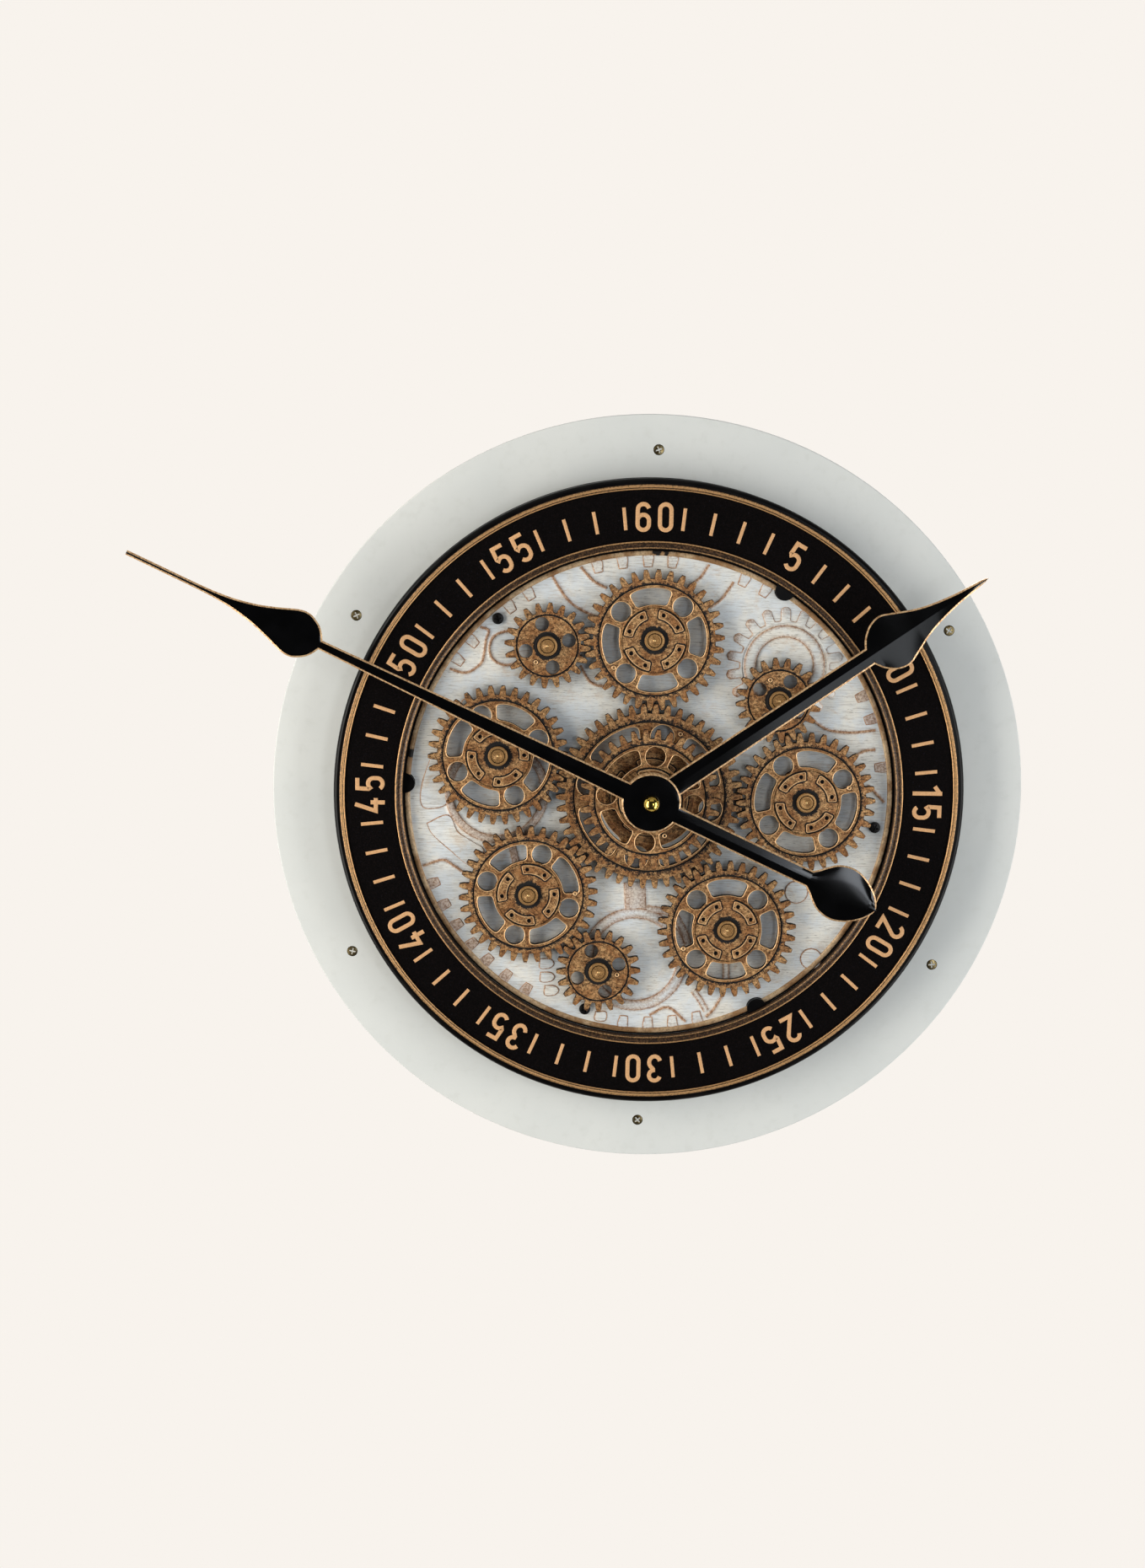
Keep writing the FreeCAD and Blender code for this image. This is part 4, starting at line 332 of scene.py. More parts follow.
class Patchwork:
    """One mesh pieced together from grids of points."""

    def __init__(self):
        self.points, self.quads, self.paints, self.marks, self.count = [], [], [], [], 0

    def add(self, grid, ring=True, paint=0, **marks):
        """Grid of rows by columns. A ring joins its last row to its first. Paint is a material
        number, or one for each row. A mark is a value for every point."""
        rows, columns = grid.shape[:2]
        index = np.arange(rows * columns).reshape(rows, columns) + self.count
        if ring:
            index = np.vstack([index, index[:1]])
        quads = np.stack([index[:-1, :-1], index[1:, :-1], index[1:, 1:], index[:-1, 1:]], -1)
        paint = np.asarray(paint)
        paint = paint[:, None] if paint.ndim == 1 else paint
        self.paints.append(np.broadcast_to(paint, quads.shape[:2]).ravel())
        self.quads.append(quads.reshape(-1, 4))
        self.points.append(grid.reshape(-1, 3))
        self.marks.append({key: np.broadcast_to(value, grid.shape[:2]).ravel()
                           for key, value in marks.items()})
        self.count += rows * columns

    def build(self, name, body, slot, finishes, node=None, crease=35.0):
        """Stand the mesh up, weld it, turn its normals outward and hand it to its body. Where
        a CAD node is named, the piece replaces it."""
        points, quads = np.concatenate(self.points), np.concatenate(self.quads)
        stood = np.stack([points[:, 0], -points[:, 2], points[:, 1]], 1) * MM
        mesh = bpy.data.meshes.new(name)
        mesh.vertices.add(len(stood))
        mesh.vertices.foreach_set("co", stood.astype(np.float32).ravel())
        mesh.loops.add(quads.size)
        mesh.loops.foreach_set("vertex_index", quads.astype(np.int32).ravel())
        mesh.polygons.add(len(quads))
        mesh.polygons.foreach_set("loop_start", np.arange(0, quads.size, 4, dtype=np.int32))
        mesh.polygons.foreach_set("material_index",
                                  np.concatenate(self.paints).astype(np.int32))
        for key in sorted({key for marks in self.marks for key in marks}):
            value = np.concatenate([marks.get(key, np.zeros(len(part)))
                                    for marks, part in zip(self.marks, self.points)])
            layer = mesh.attributes.new(key, "FLOAT", "POINT")
            layer.data.foreach_set("value", value.astype(np.float32))
        mesh.update(calc_edges=True)
        work = bmesh.new()
        work.from_mesh(mesh)
        bmesh.ops.remove_doubles(work, verts=work.verts, dist=WELD)
        bmesh.ops.dissolve_degenerate(work, edges=work.edges, dist=WELD / 10)
        bmesh.ops.recalc_face_normals(work, faces=work.faces)
        work.to_mesh(mesh)
        work.free()
        mesh.shade_smooth()
        mesh.set_sharp_from_angle(angle=math.radians(crease))
        for finish in finishes:
            mesh.materials.append(finish_of(finish))
        piece = bpy.data.objects.new(name, mesh)
        bpy.context.scene.collection.objects.link(piece)
        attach(piece, body)
        if node:
            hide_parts(node)


# Shaders.
def rgb(red, green, blue):
    """Linear colour of a screen colour of 0 to 255."""
    return tuple(c / 12.92 if c <= 0.04045 else ((c + 0.055) / 1.055) ** 2.4
                 for c in (red / 255, green / 255, blue / 255)) + (1.0,)


class Socket:
    """Output of a node that can be summed and multiplied like a number."""

    def __init__(self, finish, output):
        self.finish, self.output = finish, output

    def __add__(self, other):
        return self.finish.math("ADD", self, other)

    def __sub__(self, other):
        return self.finish.math("SUBTRACT", self, other)

    def __rsub__(self, other):
        return self.finish.math("SUBTRACT", other, self)

    def __mul__(self, other):
        return self.finish.math("MULTIPLY", self, other)

    __radd__, __rmul__ = __add__, __mul__


class Finish:
    """A material, or the world, whose colours and numbers are worked out by nodes."""

    def __init__(self, owner):
        owner.use_nodes = True
        self.owner, self.tree = owner, owner.node_tree
        self.tree.nodes.clear()

    def node(self, kind, settings, inputs, output=0):
        """One node: its type, settings, inputs by name or number, and the output wanted."""
        made = self.tree.nodes.new("ShaderNode" + kind)
        for key, value in settings.items():
            setattr(made, key, value)
        for key, value in inputs.items():
            if isinstance(value, Socket):
                self.tree.links.new(value.output, made.inputs[key])
            else:
                made.inputs[key].default_value = value
        return Socket(self, made.outputs[output]) if len(made.outputs) else made

    def math(self, operation, *values, clamp=False):
        return self.node("Math", {"operation": operation, "use_clamp": clamp},
                         dict(enumerate(values)))

    def mark(self, name):
        """Value painted on the points of a mesh."""
        return self.node("Attribute", {"attribute_name": name}, {}, "Fac")

    def place(self, scale=ALIKE):
        """Object place in millimetres, stretched."""
        where = self.node("TexCoord", {}, {}, "Object")
        return self.node("Mapping", {}, {"Vector": where,
                                                   "Scale": tuple(s / MM for s in scale)})

    def noise(self, size, detail, stretch=ALIKE, rough=0.5, twist=0.0):
        """Noise of about 0 to 1 with grains of a size in millimetres."""
        return self.node("TexNoise", {}, {
            "Vector": self.place(stretch), "Scale": 1.0 / size, "Detail": detail,
            "Roughness": rough, "Distortion": twist}, "Fac")

    def step(self, value, low, high):
        """Smooth step from 0 at low to 1 at high."""
        return self.node("MapRange", {"interpolation_type": "SMOOTHSTEP"},
                         {"Value": value, "From Min": low, "From Max": high})

    def range(self, value, low, high):
        """A value of 0 to 1 spread from low to high."""
        return self.math("MULTIPLY_ADD", value, high - low, low)

    def mix(self, share, first, second):
        """First colour at share 0, second at 1."""
        return self.node("Mix", {"data_type": "RGBA"}, {0: share, 6: first, 7: second},
                         2)

    def bump(self, height, depth, strength):
        """Normal of a height of 0 to 1 that stands for a depth in millimetres."""
        return self.node("Bump", {}, {"Height": height, "Strength": strength,
                                                "Distance": depth * MM})

    def surface(self, **inputs):
        """The shader and its output. Varying values and constants go by the socket's name."""
        named = {key.replace("_", " ").title(): value for key, value in inputs.items()}
        named = {{"Ior": "IOR", "Specular": "Specular IOR Level"}.get(key, key): value
                 for key, value in named.items()}
        shader = self.node("BsdfPrincipled", {}, named)
        self.node("OutputMaterial", {}, {"Surface": shader})
        return self.owner


def copper_gear(f):
    """Aged copper: mottled, dark where marked: a dark wash with painted shade; bright where marked:
    gilt wear with painted highlight.
    """
    cloud, fine = f.noise(6.0, 5.0, rough=0.6), f.noise(0.55, 6.0, rough=0.75)
    mottle = f.noise(1.7, 5.0, ALIKE, 0.7)
    ragged = (fine - 0.5) * 1.5 + (mottle - 0.5) * 1.5
    # Painted shade and the real dark wash share the first mask; painted highlight and gilt wear
    # share the second.
    wash_and_shade = f.step(f.mark("soot") + ragged, 0.40, 0.66)
    shine_and_highlight = f.step(f.mark("gild") + ragged * 0.8, 0.50, 0.95)
    body = f.mix(f.step(cloud, 0.38, 0.62), rgb(194, 136, 82), rgb(236, 186, 126))
    body = f.mix(f.step(mottle, 0.44, 0.58) * 0.7, body, rgb(124, 80, 46))
    body = f.mix(f.step(f.noise(2.2, 6.0, (1.0, 1.0, 2.4), 0.8), 0.50, 0.60) * 0.85, body,
                 rgb(70, 43, 24))
    body = f.mix(f.step(fine, 0.50, 0.62) * 0.7, body, rgb(62, 38, 21))
    body = f.mix(f.step(f.noise(1.3, 6.0, rough=0.8), 0.53, 0.61) * 0.75, body, rgb(46, 28, 16))
    body = f.mix(shine_and_highlight, body, rgb(250, 206, 150))
    body = f.mix(wash_and_shade, body, rgb(10, 6, 4))
    return f.surface(base_color=body, metallic=f.range(wash_and_shade, 0.45, 0.0),
                     roughness=f.range(fine, 0.34, 0.60) + wash_and_shade * 0.35,
                     normal=f.bump(fine, 0.12, 0.7))


def axle_metal(f):
    fine = f.noise(0.5, 5.0, rough=0.7)
    body = f.mix(f.step(fine, 0.42, 0.66), rgb(206, 158, 100), rgb(124, 88, 52))
    # Painted highlight on the caps' middles and rims, painted shade in their grooves and under
    # them.
    body = f.mix(f.step(f.mark("gild") + (fine - 0.5), 0.5, 0.95), body, rgb(240, 206, 140))
    body = f.mix(f.step(f.mark("soot") + (fine - 0.5), 0.4, 0.7), body, rgb(24, 15, 9))
    return f.surface(base_color=body, metallic=0.6, roughness=f.range(fine, 0.25, 0.45))


def brass(f, bright, dark, rough):
    """Turned or worn brass, dark where marked with painted shade, as in the recess of a screw."""
    fine = f.noise(0.6, 4.0)
    body = f.mix(f.step(f.noise(2.5, 3.0), 0.4, 0.75), rgb(*bright), rgb(*dark))
    body = f.mix(f.step(f.mark("soot"), 0.3, 0.7), body, rgb(26, 20, 10))
    return f.surface(base_color=body, metallic=1.0, roughness=f.range(fine, rough, rough + 0.12))


def bronze(f):
    """Dark bronze, speckled, bright where marked: rubbed bronze with painted highlight; dark where
    marked with painted shade.
    """
    grain = f.noise(0.9, 6.0, rough=0.75)
    rub = f.step(f.mark("rub") + (grain - 0.5) * 1.3, 0.45, 1.0)
    body = f.mix(f.step(grain, 0.42, 0.68), rgb(34, 22, 13), rgb(112, 80, 49))
    body = f.mix(rub, body, rgb(232, 180, 122))
    body = f.mix(f.step(f.mark("soot"), 0.4, 0.8), body, rgb(14, 9, 6))
    return f.surface(base_color=body, metallic=f.range(rub, 0.35, 0.75),
                     roughness=f.range(grain, 0.3, 0.5), normal=f.bump(grain, 0.15, 0.5))


def dial_black(f):
    """Black minute ring with fine speckles."""
    grain = f.noise(0.45, 5.0, rough=0.7)
    body = f.mix(f.step(grain, 0.45, 0.70), rgb(3, 2, 2), rgb(22, 15, 14))
    body = f.mix(f.step(f.noise(0.8, 3.0), 0.62, 0.74), body, rgb(26, 25, 32))
    return f.surface(base_color=body, roughness=f.range(grain, 0.55, 0.8), specular=0.05)


def pale_relief(f):
    """Warm whitewash with brushed scratches and tan smears; marked edges turn tan-brown, a tan wash
    with painted shade, and marked places dark with painted shade.
    """
    brushed = f.noise(0.6, 6.0, (0.07, 1.0, 1.0), 0.75)
    cloud, fine = f.noise(16.0, 5.0, rough=0.6), f.noise(1.2, 6.0, rough=0.75)
    smear = f.step(f.noise(13.0, 6.0, (1.0, 1.0, 1.4), 0.7, 0.6), 0.52, 0.72)
    rub = f.step(f.mark("rub") + (fine - 0.5) * 1.0, 0.20, 0.85)
    body = f.mix(f.step(cloud, 0.35, 0.65), rgb(226, 231, 232), rgb(244, 240, 228))
    body = f.mix(f.step(brushed, 0.47, 0.64) * 0.55, body, rgb(166, 158, 144))
    hairs = f.step(f.noise(0.5, 3.0, (0.12, 1.0, 1.0), 0.6), 0.62, 0.70)
    body = f.mix(hairs * f.step(cloud, 0.35, 0.6) * 0.6, body, rgb(112, 98, 82))
    body = f.mix(smear * (0.35 + f.step(brushed, 0.45, 0.6) * 0.4), body, rgb(206, 180, 150))
    # Marked edges: tan wash with painted shade.
    body = f.mix(rub, body, f.mix(f.step(fine, 0.4, 0.6), rgb(198, 148, 100),
                                  rgb(138, 92, 56)))
    body = f.mix(f.step(f.mark("soot") + (fine - 0.5), 0.35, 0.9), body, rgb(78, 56, 38))
    return f.surface(base_color=body, roughness=f.range(brushed, 0.42, 0.66), metallic=0.1,
                     normal=f.bump(brushed, 0.06, 0.5))


def relief_lip(f):
    """Tan rim of the relief, dark where marked: dark spots, and painted shade at its outer edge
    under the inner bezel.
    """
    grain = f.noise(1.2, 6.0, ALIKE, 0.75)
    patch = f.step(f.noise(14.0, 4.0, rough=0.6), 0.40, 0.60)
    body = f.mix(patch, rgb(208, 178, 138), rgb(158, 118, 76))
    body = f.mix(f.step(grain, 0.45, 0.72) * 0.8, body, rgb(92, 66, 40))
    body = f.mix(f.step(f.mark("soot") + (grain - 0.5), 0.3, 0.7), body, rgb(20, 14, 10))
    return f.surface(base_color=body, roughness=f.range(grain, 0.4, 0.65), metallic=0.2)


def painted_board(f):
    """Pale paint with the faintest mottle."""
    cloud, fine = f.noise(60.0, 4.0), f.noise(0.7, 4.0)
    body = f.mix(f.step(cloud, 0.3, 0.7), rgb(219, 221, 216), rgb(226, 227, 221))
    body = f.mix(f.step(f.noise(5.0, 5.0), 0.5, 0.8) * 0.4, body, rgb(212, 213, 206))
    return f.surface(base_color=body, roughness=f.range(fine, 0.5, 0.62),
                     normal=f.bump(fine, 0.03, 0.4))


def stained_wood(f):
    """Dark stained rings of grain, bent by noise."""
    grain = f.node("TexWave", {"wave_type": "BANDS", "bands_direction": "Z"}, {
        "Vector": f.place((0.12, 0.5, 0.5)), "Scale": 0.35, "Distortion": 5.0, "Detail": 3.0,
        "Detail Scale": 0.6}, "Fac")
    pores = f.step(f.noise(0.8, 4.0, (0.06, 1.0, 1.0), 0.6), 0.56, 0.72)
    body = f.mix(grain, rgb(122, 86, 56), rgb(88, 58, 36))
    body = f.mix(pores * 0.7, body, rgb(52, 33, 20))
    return f.surface(base_color=body, roughness=f.range(grain, 0.4, 0.55),
                     normal=f.bump(pores, 0.05, -0.4))


def two_tone(f, noise, between, first, second, rough, bump=None, **constants):
    """Two tones mixed by one noise, which also spreads the gloss and may raise the surface."""
    grain = f.noise(*noise)
    body = f.mix(f.step(grain, *between), rgb(*first), rgb(*second))
    if bump:
        constants["normal"] = f.bump(grain, *bump)
    return f.surface(base_color=body, roughness=f.range(grain, *rough), **constants)


def plain(f, first, second, rough, metallic=0.0, size=3.0):
    """Two close tones mixed by noise, with a fine grain in the gloss."""
    cloud, fine = f.noise(size, 4.0), f.noise(0.3, 3.0)
    body = f.mix(f.step(cloud, 0.3, 0.7), rgb(*first), rgb(*second))
    return f.surface(base_color=body, metallic=metallic, roughness=f.range(fine, *rough),
                     normal=f.bump(fine, 0.04, 0.4))


def cell(f):
    """Battery sleeve: dark with a copper-coloured band at its plus end."""
    fine = f.noise(0.5, 3.0)
    along = f.node("SeparateXYZ", {}, {0: f.place()}, 0)
    band = f.step(f.math("SINE", along * 0.11), 0.55, 0.6)
    body = f.mix(band, rgb(34, 36, 40), rgb(176, 116, 66))
    return f.surface(base_color=body, metallic=0.3, roughness=f.range(fine, 0.25, 0.35))


def green_laminate(f):
    """Green laminate with pale tracks."""
    tracks = f.node("TexBrick", {}, {"Vector": f.place((0.4, 0.4, 0.4)), "Scale": 1.0},
                    "Fac")
    fine = f.noise(0.8, 3.0)
    body = f.mix(tracks, rgb(26, 92, 52), rgb(58, 128, 78))
    return f.surface(base_color=body, roughness=f.range(fine, 0.35, 0.5))


# Finishes by name: a function, or a function and what it is given.
FINISHES = {maker.__name__: (maker,) for maker in (
    copper_gear, axle_metal, bronze, dial_black, pale_relief, relief_lip, painted_board,
    stained_wood, cell, green_laminate)}
FINISHES.update({
    "brass": (brass, (206, 168, 96), (150, 116, 62), 0.25),
    "screw_brass": (brass, (196, 176, 128), (120, 98, 58), 0.25),
    "polished_brass": (brass, (236, 206, 104), (206, 170, 78), 0.08),
    "steel": (plain, (172, 172, 168), (196, 196, 192), (0.25, 0.4), 1.0),
    "black_steel": (plain, (14, 13, 13), (26, 25, 24), (0.3, 0.45), 0.4),
    "copper": (plain, (190, 110, 66), (156, 84, 48), (0.25, 0.4), 1.0, 0.5),
    "black_plastic": (plain, (22, 22, 23), (31, 31, 32), (0.45, 0.6)),
    "white_plastic": (plain, (220, 218, 210), (232, 230, 222), (0.35, 0.5)),
    "black_enamel": (two_tone, (9.0, 4.0), (0.35, 0.8), (6, 5, 5), (15, 13, 12), (0.26, 0.38)),
    "dial_print": (two_tone, (0.6, 5.0, ALIKE, 0.7), (0.35, 0.75), (224, 174, 122),
                   (194, 142, 92), (0.5, 0.7)),
    "hand_black": (two_tone, (14.0, 2.0), (0.3, 0.8), (3, 3, 3), (7, 7, 8), (0.10, 0.16)),
    "gilt_edge": (two_tone, (1.1, 4.0, ALIKE, 0.65), (0.38, 0.66), (250, 210, 158),
                  (176, 128, 84), (0.28, 0.42)),
    "fibreboard": (two_tone, (0.9, 6.0, (0.5, 1.0, 1.0), 0.75, 1.0), (0.3, 0.7), (104, 78, 54),
                   (142, 112, 82), (0.7, 0.9), (0.08, 0.5)),
})
# What is the same all over a finish.
CONSTANTS = {"black_enamel": {"specular": 0.16}, "gilt_edge": {"metallic": 0.5}}
made = {}


def finish_of(name):
    """A finish is made once and then shared."""
    if name not in made:
        maker, *given = FINISHES[name]
        finish = Finish(bpy.data.materials.new(name))
        made[name] = maker(finish, *given, **CONSTANTS.get(name, {}))
    return made[name]


def dress(node, finish):
    """Put a finish on a CAD node that keeps its own shape."""
    node.data.materials.clear()
    node.data.materials.append(finish_of(finish))


# Gears.
def gear_outline(teeth):
    """Points of the toothed outline, eight to a tooth: (angle in degrees, radius)."""
    pitch = MODULE * teeth / 2
    radii = np.array([pitch - TOOTH_ROOT, pitch, pitch + TOOTH_TOP])
    root, middle, tip = np.degrees(np.array(TOOTH_HALVES) / radii)
    half = 180.0 / teeth
    angle = np.array([-half, -root, -middle, -tip, 0, tip, middle, root])
    radius = radii[[0, 0, 1, 2, 2, 2, 1, 0]]
    turns = np.arange(teeth)[:, None] * 360.0 / teeth
    return (turns + angle).ravel(), np.tile(radius, teeth)


def even_angles(teeth):
    """Even angles round a gear, as many as its outline has points."""
    return (np.arange(teeth * SAMPLES) - SAMPLES / 2) * 360.0 / (teeth * SAMPLES)


def add_rim(patch, form, rear, front):
    """Toothed rim: from the web's edge at the rear round the teeth to the web's edge in front,
    with a groove inside the teeth."""
    teeth = form["teeth"]
    angle, radius = gear_outline(teeth)
    even = even_angles(teeth)
    outline = circle(angle, radius)
    inset = outline + normals(outline, True) * 0.24
    root, groove, web = MODULE * teeth / 2 - TOOTH_ROOT, form["groove"], form["web"][1]
    circles = [circle(even, r) for r in
               (web, root - 0.5, groove + 0.4, groove + 0.2, groove - 0.2, groove - 0.4)]
    rows = [circles[0], outline, outline, inset, *circles[1:], circles[0]]
    sunk = front - GROOVE_DEPTH
    depth = [rear, rear, sunk, front, front, front, sunk, sunk, front + 0.05, front]
    # Painted shade darkens the tooth flanks, the roots between the teeth and the groove; painted
    # highlight with gilt wear lights the groove's inner lip and the tooth edges.
    soot = np.repeat(np.array([0, .9, .8, .24, .1, .7, 1.6, 1.6, .2, 0])[:, None], len(angle), 1)
    soot[3:5] += 0.22 * (radius < root + 0.1)
    gild = np.array([0, 0, .1, .3, 0, .1, 0, 0, .75, .15])[:, None]
    grid = grid_of(np.stack(rows), depth)
    patch.add(np.swapaxes(grid, 0, 1), soot=soot.T, gild=np.broadcast_to(gild, soot.shape).T)


def add_cells(patch, form, rear, front, lip):
    """Web between the rim and the hub: a part for each opening, holes and slots in turn.

    A hole is a circle seen from its middle along the rays to the part's edge. A slot is the
    curve |s/a|^6 + |t/b|^6 = 1 in arc length s and radius t.
    """
    teeth, (inner, outer) = form["teeth"], form["web"]
    eighth = 360.0 / (teeth * SAMPLES)
    quarter = teeth * SAMPLES // 4
    parts = [(0.0, form["share"] // 2, None)]
    if form["slot"]:
        parts.append((45.0, (quarter - form["share"]) // 2, form["slot"]))
    sides = 14
    rise = np.arange(sides) / sides
    for middle, half, slot in parts:
        steps = np.arange(-half, half)
        angle = np.concatenate([steps, np.full(sides, half), -steps, np.full(sides, -half)])
        angle = angle * eighth
        radius = np.concatenate([np.full(len(steps), outer), outer + (inner - outer) * rise,
                                 np.full(len(steps), inner), inner + (outer - inner) * rise])

        def opening(wider):
            if slot is None:
                size, centre = form["hole"]
                x, y = clockwise(angle, radius)
                far = np.hypot(x, y - centre)
                return x / far * (size + wider), centre + (y - centre) / far * (size + wider)
            low, high, reach = slot
            centre = (low + high) / 2
            s, t = np.radians(angle) * centre, radius - centre
            a, b = math.radians(reach) * centre + wider, (high - low) / 2 + wider
            k = (np.abs(s / a) ** 6 + np.abs(t / b) ** 6) ** (-1 / 6)
            return clockwise(np.degrees(s * k / centre), centre + t * k)

        edge = clockwise(angle, radius)
        near = np.array(opening(0.52))
        loops = [edge, opening(0.0), opening(0.0), opening(0.08), opening(0.22), opening(0.36),
                 near, near + (np.array(edge) - near) * 0.6, edge]
        depth = np.array([rear, rear, front - 0.35, front + lip * 0.7, front + lip,
                          front + lip * 0.7, front, front, front])
        # Painted shade darkens the walls of the openings and the foot of the lip; painted highlight
        # with gilt wear lights the lip's crest. The ring round the axle is the dark wash.
        soot = np.repeat(np.array([0, 1, .7, 0, 0, 0, .35, 0, 0])[:, None], len(angle) + 1, 1)
        soot[-2:, :-1] += [1.5 * ease(WASH_END, WASH_FULL, np.hypot(*loop)) for loop in loops[-2:]]
        soot[-2:, -1] = soot[-2:, 0]
        gild = np.array([0, 0, .3, .9, 1, .9, 0, 0, 0])[:, None] * (1.0 if lip else 0.3)
        for k in range(4):
            turn = math.radians(middle + 90.0 * k)
            rows = [np.stack([x * math.cos(turn) + y * math.sin(turn),
                              y * math.cos(turn) - x * math.sin(turn)], -1) for x, y in loops]
            grid = grid_of(np.stack(rows), depth)
            grid = np.concatenate([grid, grid[:, :1]], 1)
            patch.add(grid, False, soot=soot, gild=gild)


def hub_relief(form, angle, radius, look):
    """Height, dark wash with painted shade, and gilt with painted highlight over the hub: painted
    shade at the foot of the hub and of the bars and in the pits, painted highlight on their edges.
    The bars are round-cornered strips bent round the axle, with the distance to their edge d =
    |max(q, 0)| + min(max(q), 0) - corner."""
    hub = form["hub"]
    height = look.hub_rise / MM * ease(hub + 0.15, hub - 0.2, radius)
    gild = 0.6 * bell(radius, hub - 0.2, 0.2)
    soot = 0.35 * bell(radius, hub + 0.3, 0.3) + 1.5 * ease(WASH_END, WASH_FULL, radius)
    if form["bars"]:
        inner, outer = form["bars"]
        middle, width = (inner + outer) / 2, (outer - inner) / 2
        off = np.radians(np.abs((angle + 45.0) % 90.0 - 45.0))
        along = (off - math.radians(BAR_HALF_ANGLE)) * radius + BAR_CORNER
        across = np.abs(radius - middle) - width + BAR_CORNER
        edge = (np.hypot(np.maximum(along, 0), np.maximum(across, 0))
                + np.minimum(np.maximum(along, across), 0) - BAR_CORNER)
        height = height + look.bar_rise / MM * ease(0.1, -0.1, edge)
        gild = gild + 1.3 * bell(edge, -0.24, 0.2)
        soot = soot + 1.7 * bell(edge, 0.34, 0.28)
        pit = np.hypot((off - math.radians(PIT_ANGLE)) * radius, radius - middle)
        height = height - 1.0 * ease(1.2, 0.7, pit)
        soot = soot + 1.2 * ease(1.15, 0.85, pit)
        gild = gild + 0.8 * bell(pit, 1.35, 0.2)
    return height, soot, gild


def add_hub(patch, form, rear, front, bore, look):
    """Hub from the web inward to the bore and back along the rear face."""
    even = even_angles(form["teeth"])
    hub, web = form["hub"], form["web"][0]
    radii = [web, (web + hub + 0.12) / 2, hub + 0.12, hub - 0.02, hub - 0.22, hub - 0.5]
    if form["bars"]:
        inner, outer = form["bars"]
        radii += list(np.linspace(hub - 1.0, outer + 0.9, 3))
        radii += list(np.arange(outer + 0.65, inner - 0.7, -0.22))
        radii += list(np.linspace(inner - 1.2, 8.0, 3))
    radii = np.array(radii + list(np.arange(min(7.6, hub - 0.8), bore + 0.3, -0.4)) + [bore])
    angle, radius = np.meshgrid(even, radii, indexing="ij")
    height, soot, gild = hub_relief(form, angle, radius, look)
    x, y = clockwise(angle, radius)
    top = np.stack([x, y, front + height], -1)
    under = np.stack([np.stack([*clockwise(even, r), np.full(len(even), rear)], -1)
                      for r in (bore, web)], 1)
    zero = np.zeros((len(even), 2))
    patch.add(np.concatenate([top, under], 1),
              soot=np.concatenate([soot, zero + 0.5], 1), gild=np.concatenate([gild, zero], 1))


def gear_patch(name, look):
    """One gear in its place."""
    kind, joint, turn, pins = GEARS[name]
    form, rear = FORMS[kind], span(name)[0]
    front = rear + look.face_width / MM
    patch = Patchwork()
    add_rim(patch, form, rear, front)
    add_cells(patch, form, rear, front, look.lip_height / MM if form["slot"] else 0.0)
    add_hub(patch, form, rear, front, BUSH_BORE if joint == "centre_gears_turn" else POST_BORE,
            look)
    for far, where in pins:
        pin = revolved([(r, front + d) for r, d in PIN], 20, clockwise(where, far))
        patch.add(pin, soot=np.array(PIN_SHADE)[None], gild=np.array(PIN_HIGHLIGHT)[None])
    x, y = joint_place(joint)
    angle = math.radians(turn)
    spin = np.array([[math.cos(angle), -math.sin(angle)], [math.sin(angle), math.cos(angle)]])
    for grid in patch.points:
        grid[:, :2] = grid[:, :2] @ spin + (x, y)
    return patch


def cap_profile(rear, front, foot, foot_height):
    """Turned cap of an axle with two rings and a dimple, its shank and foot: (r, depth)."""
    seat, under = rear + foot_height, front - CAP_HEIGHT
    return [(r, front + d) for r, d in CAP] + [
        (CAP_RADIUS, under), (SHANK_RADIUS, under), (SHANK_RADIUS, seat), (foot, seat),
        (foot, rear), (0.0, rear)]


def add_screw(patch, middle, head, face, rear, shank, dome, turn):
    """Screw: a domed head with a cross recess |x y| small, over a shank.

    height = dome (1 - (r / R)^2) - recess, the recess an even step of min(|x|, |y|).
    """
    radii = np.concatenate([np.linspace(0, 0.78, 14), [0.86, 0.93, 0.98, 1.0]]) * head
    angle, radius = np.meshgrid(np.arange(SIDES) * 360.0 / SIDES, radii, indexing="ij")
    x, y = clockwise(angle + turn, radius)
    thin = np.minimum(np.abs(x), np.abs(y))
    recess = ease(0.42, 0.18, thin) * ease(0.68 * head, 0.5 * head, radius)
    height = dome * (1 - (radius / head) ** 2) - 0.9 * recess
    px, py = clockwise(angle, radius)
    top = np.stack([px + middle[0], py + middle[1], face + height], -1)
    under = revolved([(head, face - 0.6), (shank, face - 1.8), (shank, rear), (0.0, rear)], SIDES,
                     middle)
    # Painted shade in the cross recess, round the edge of the head and under it.
    soot = np.concatenate([recess * 1.2 + 0.8 * ease(0.86 * head, 0.97 * head, radius),
                           np.ones((SIDES, 4))], 1)
    patch.add(np.concatenate([top, under], 1), soot=soot)


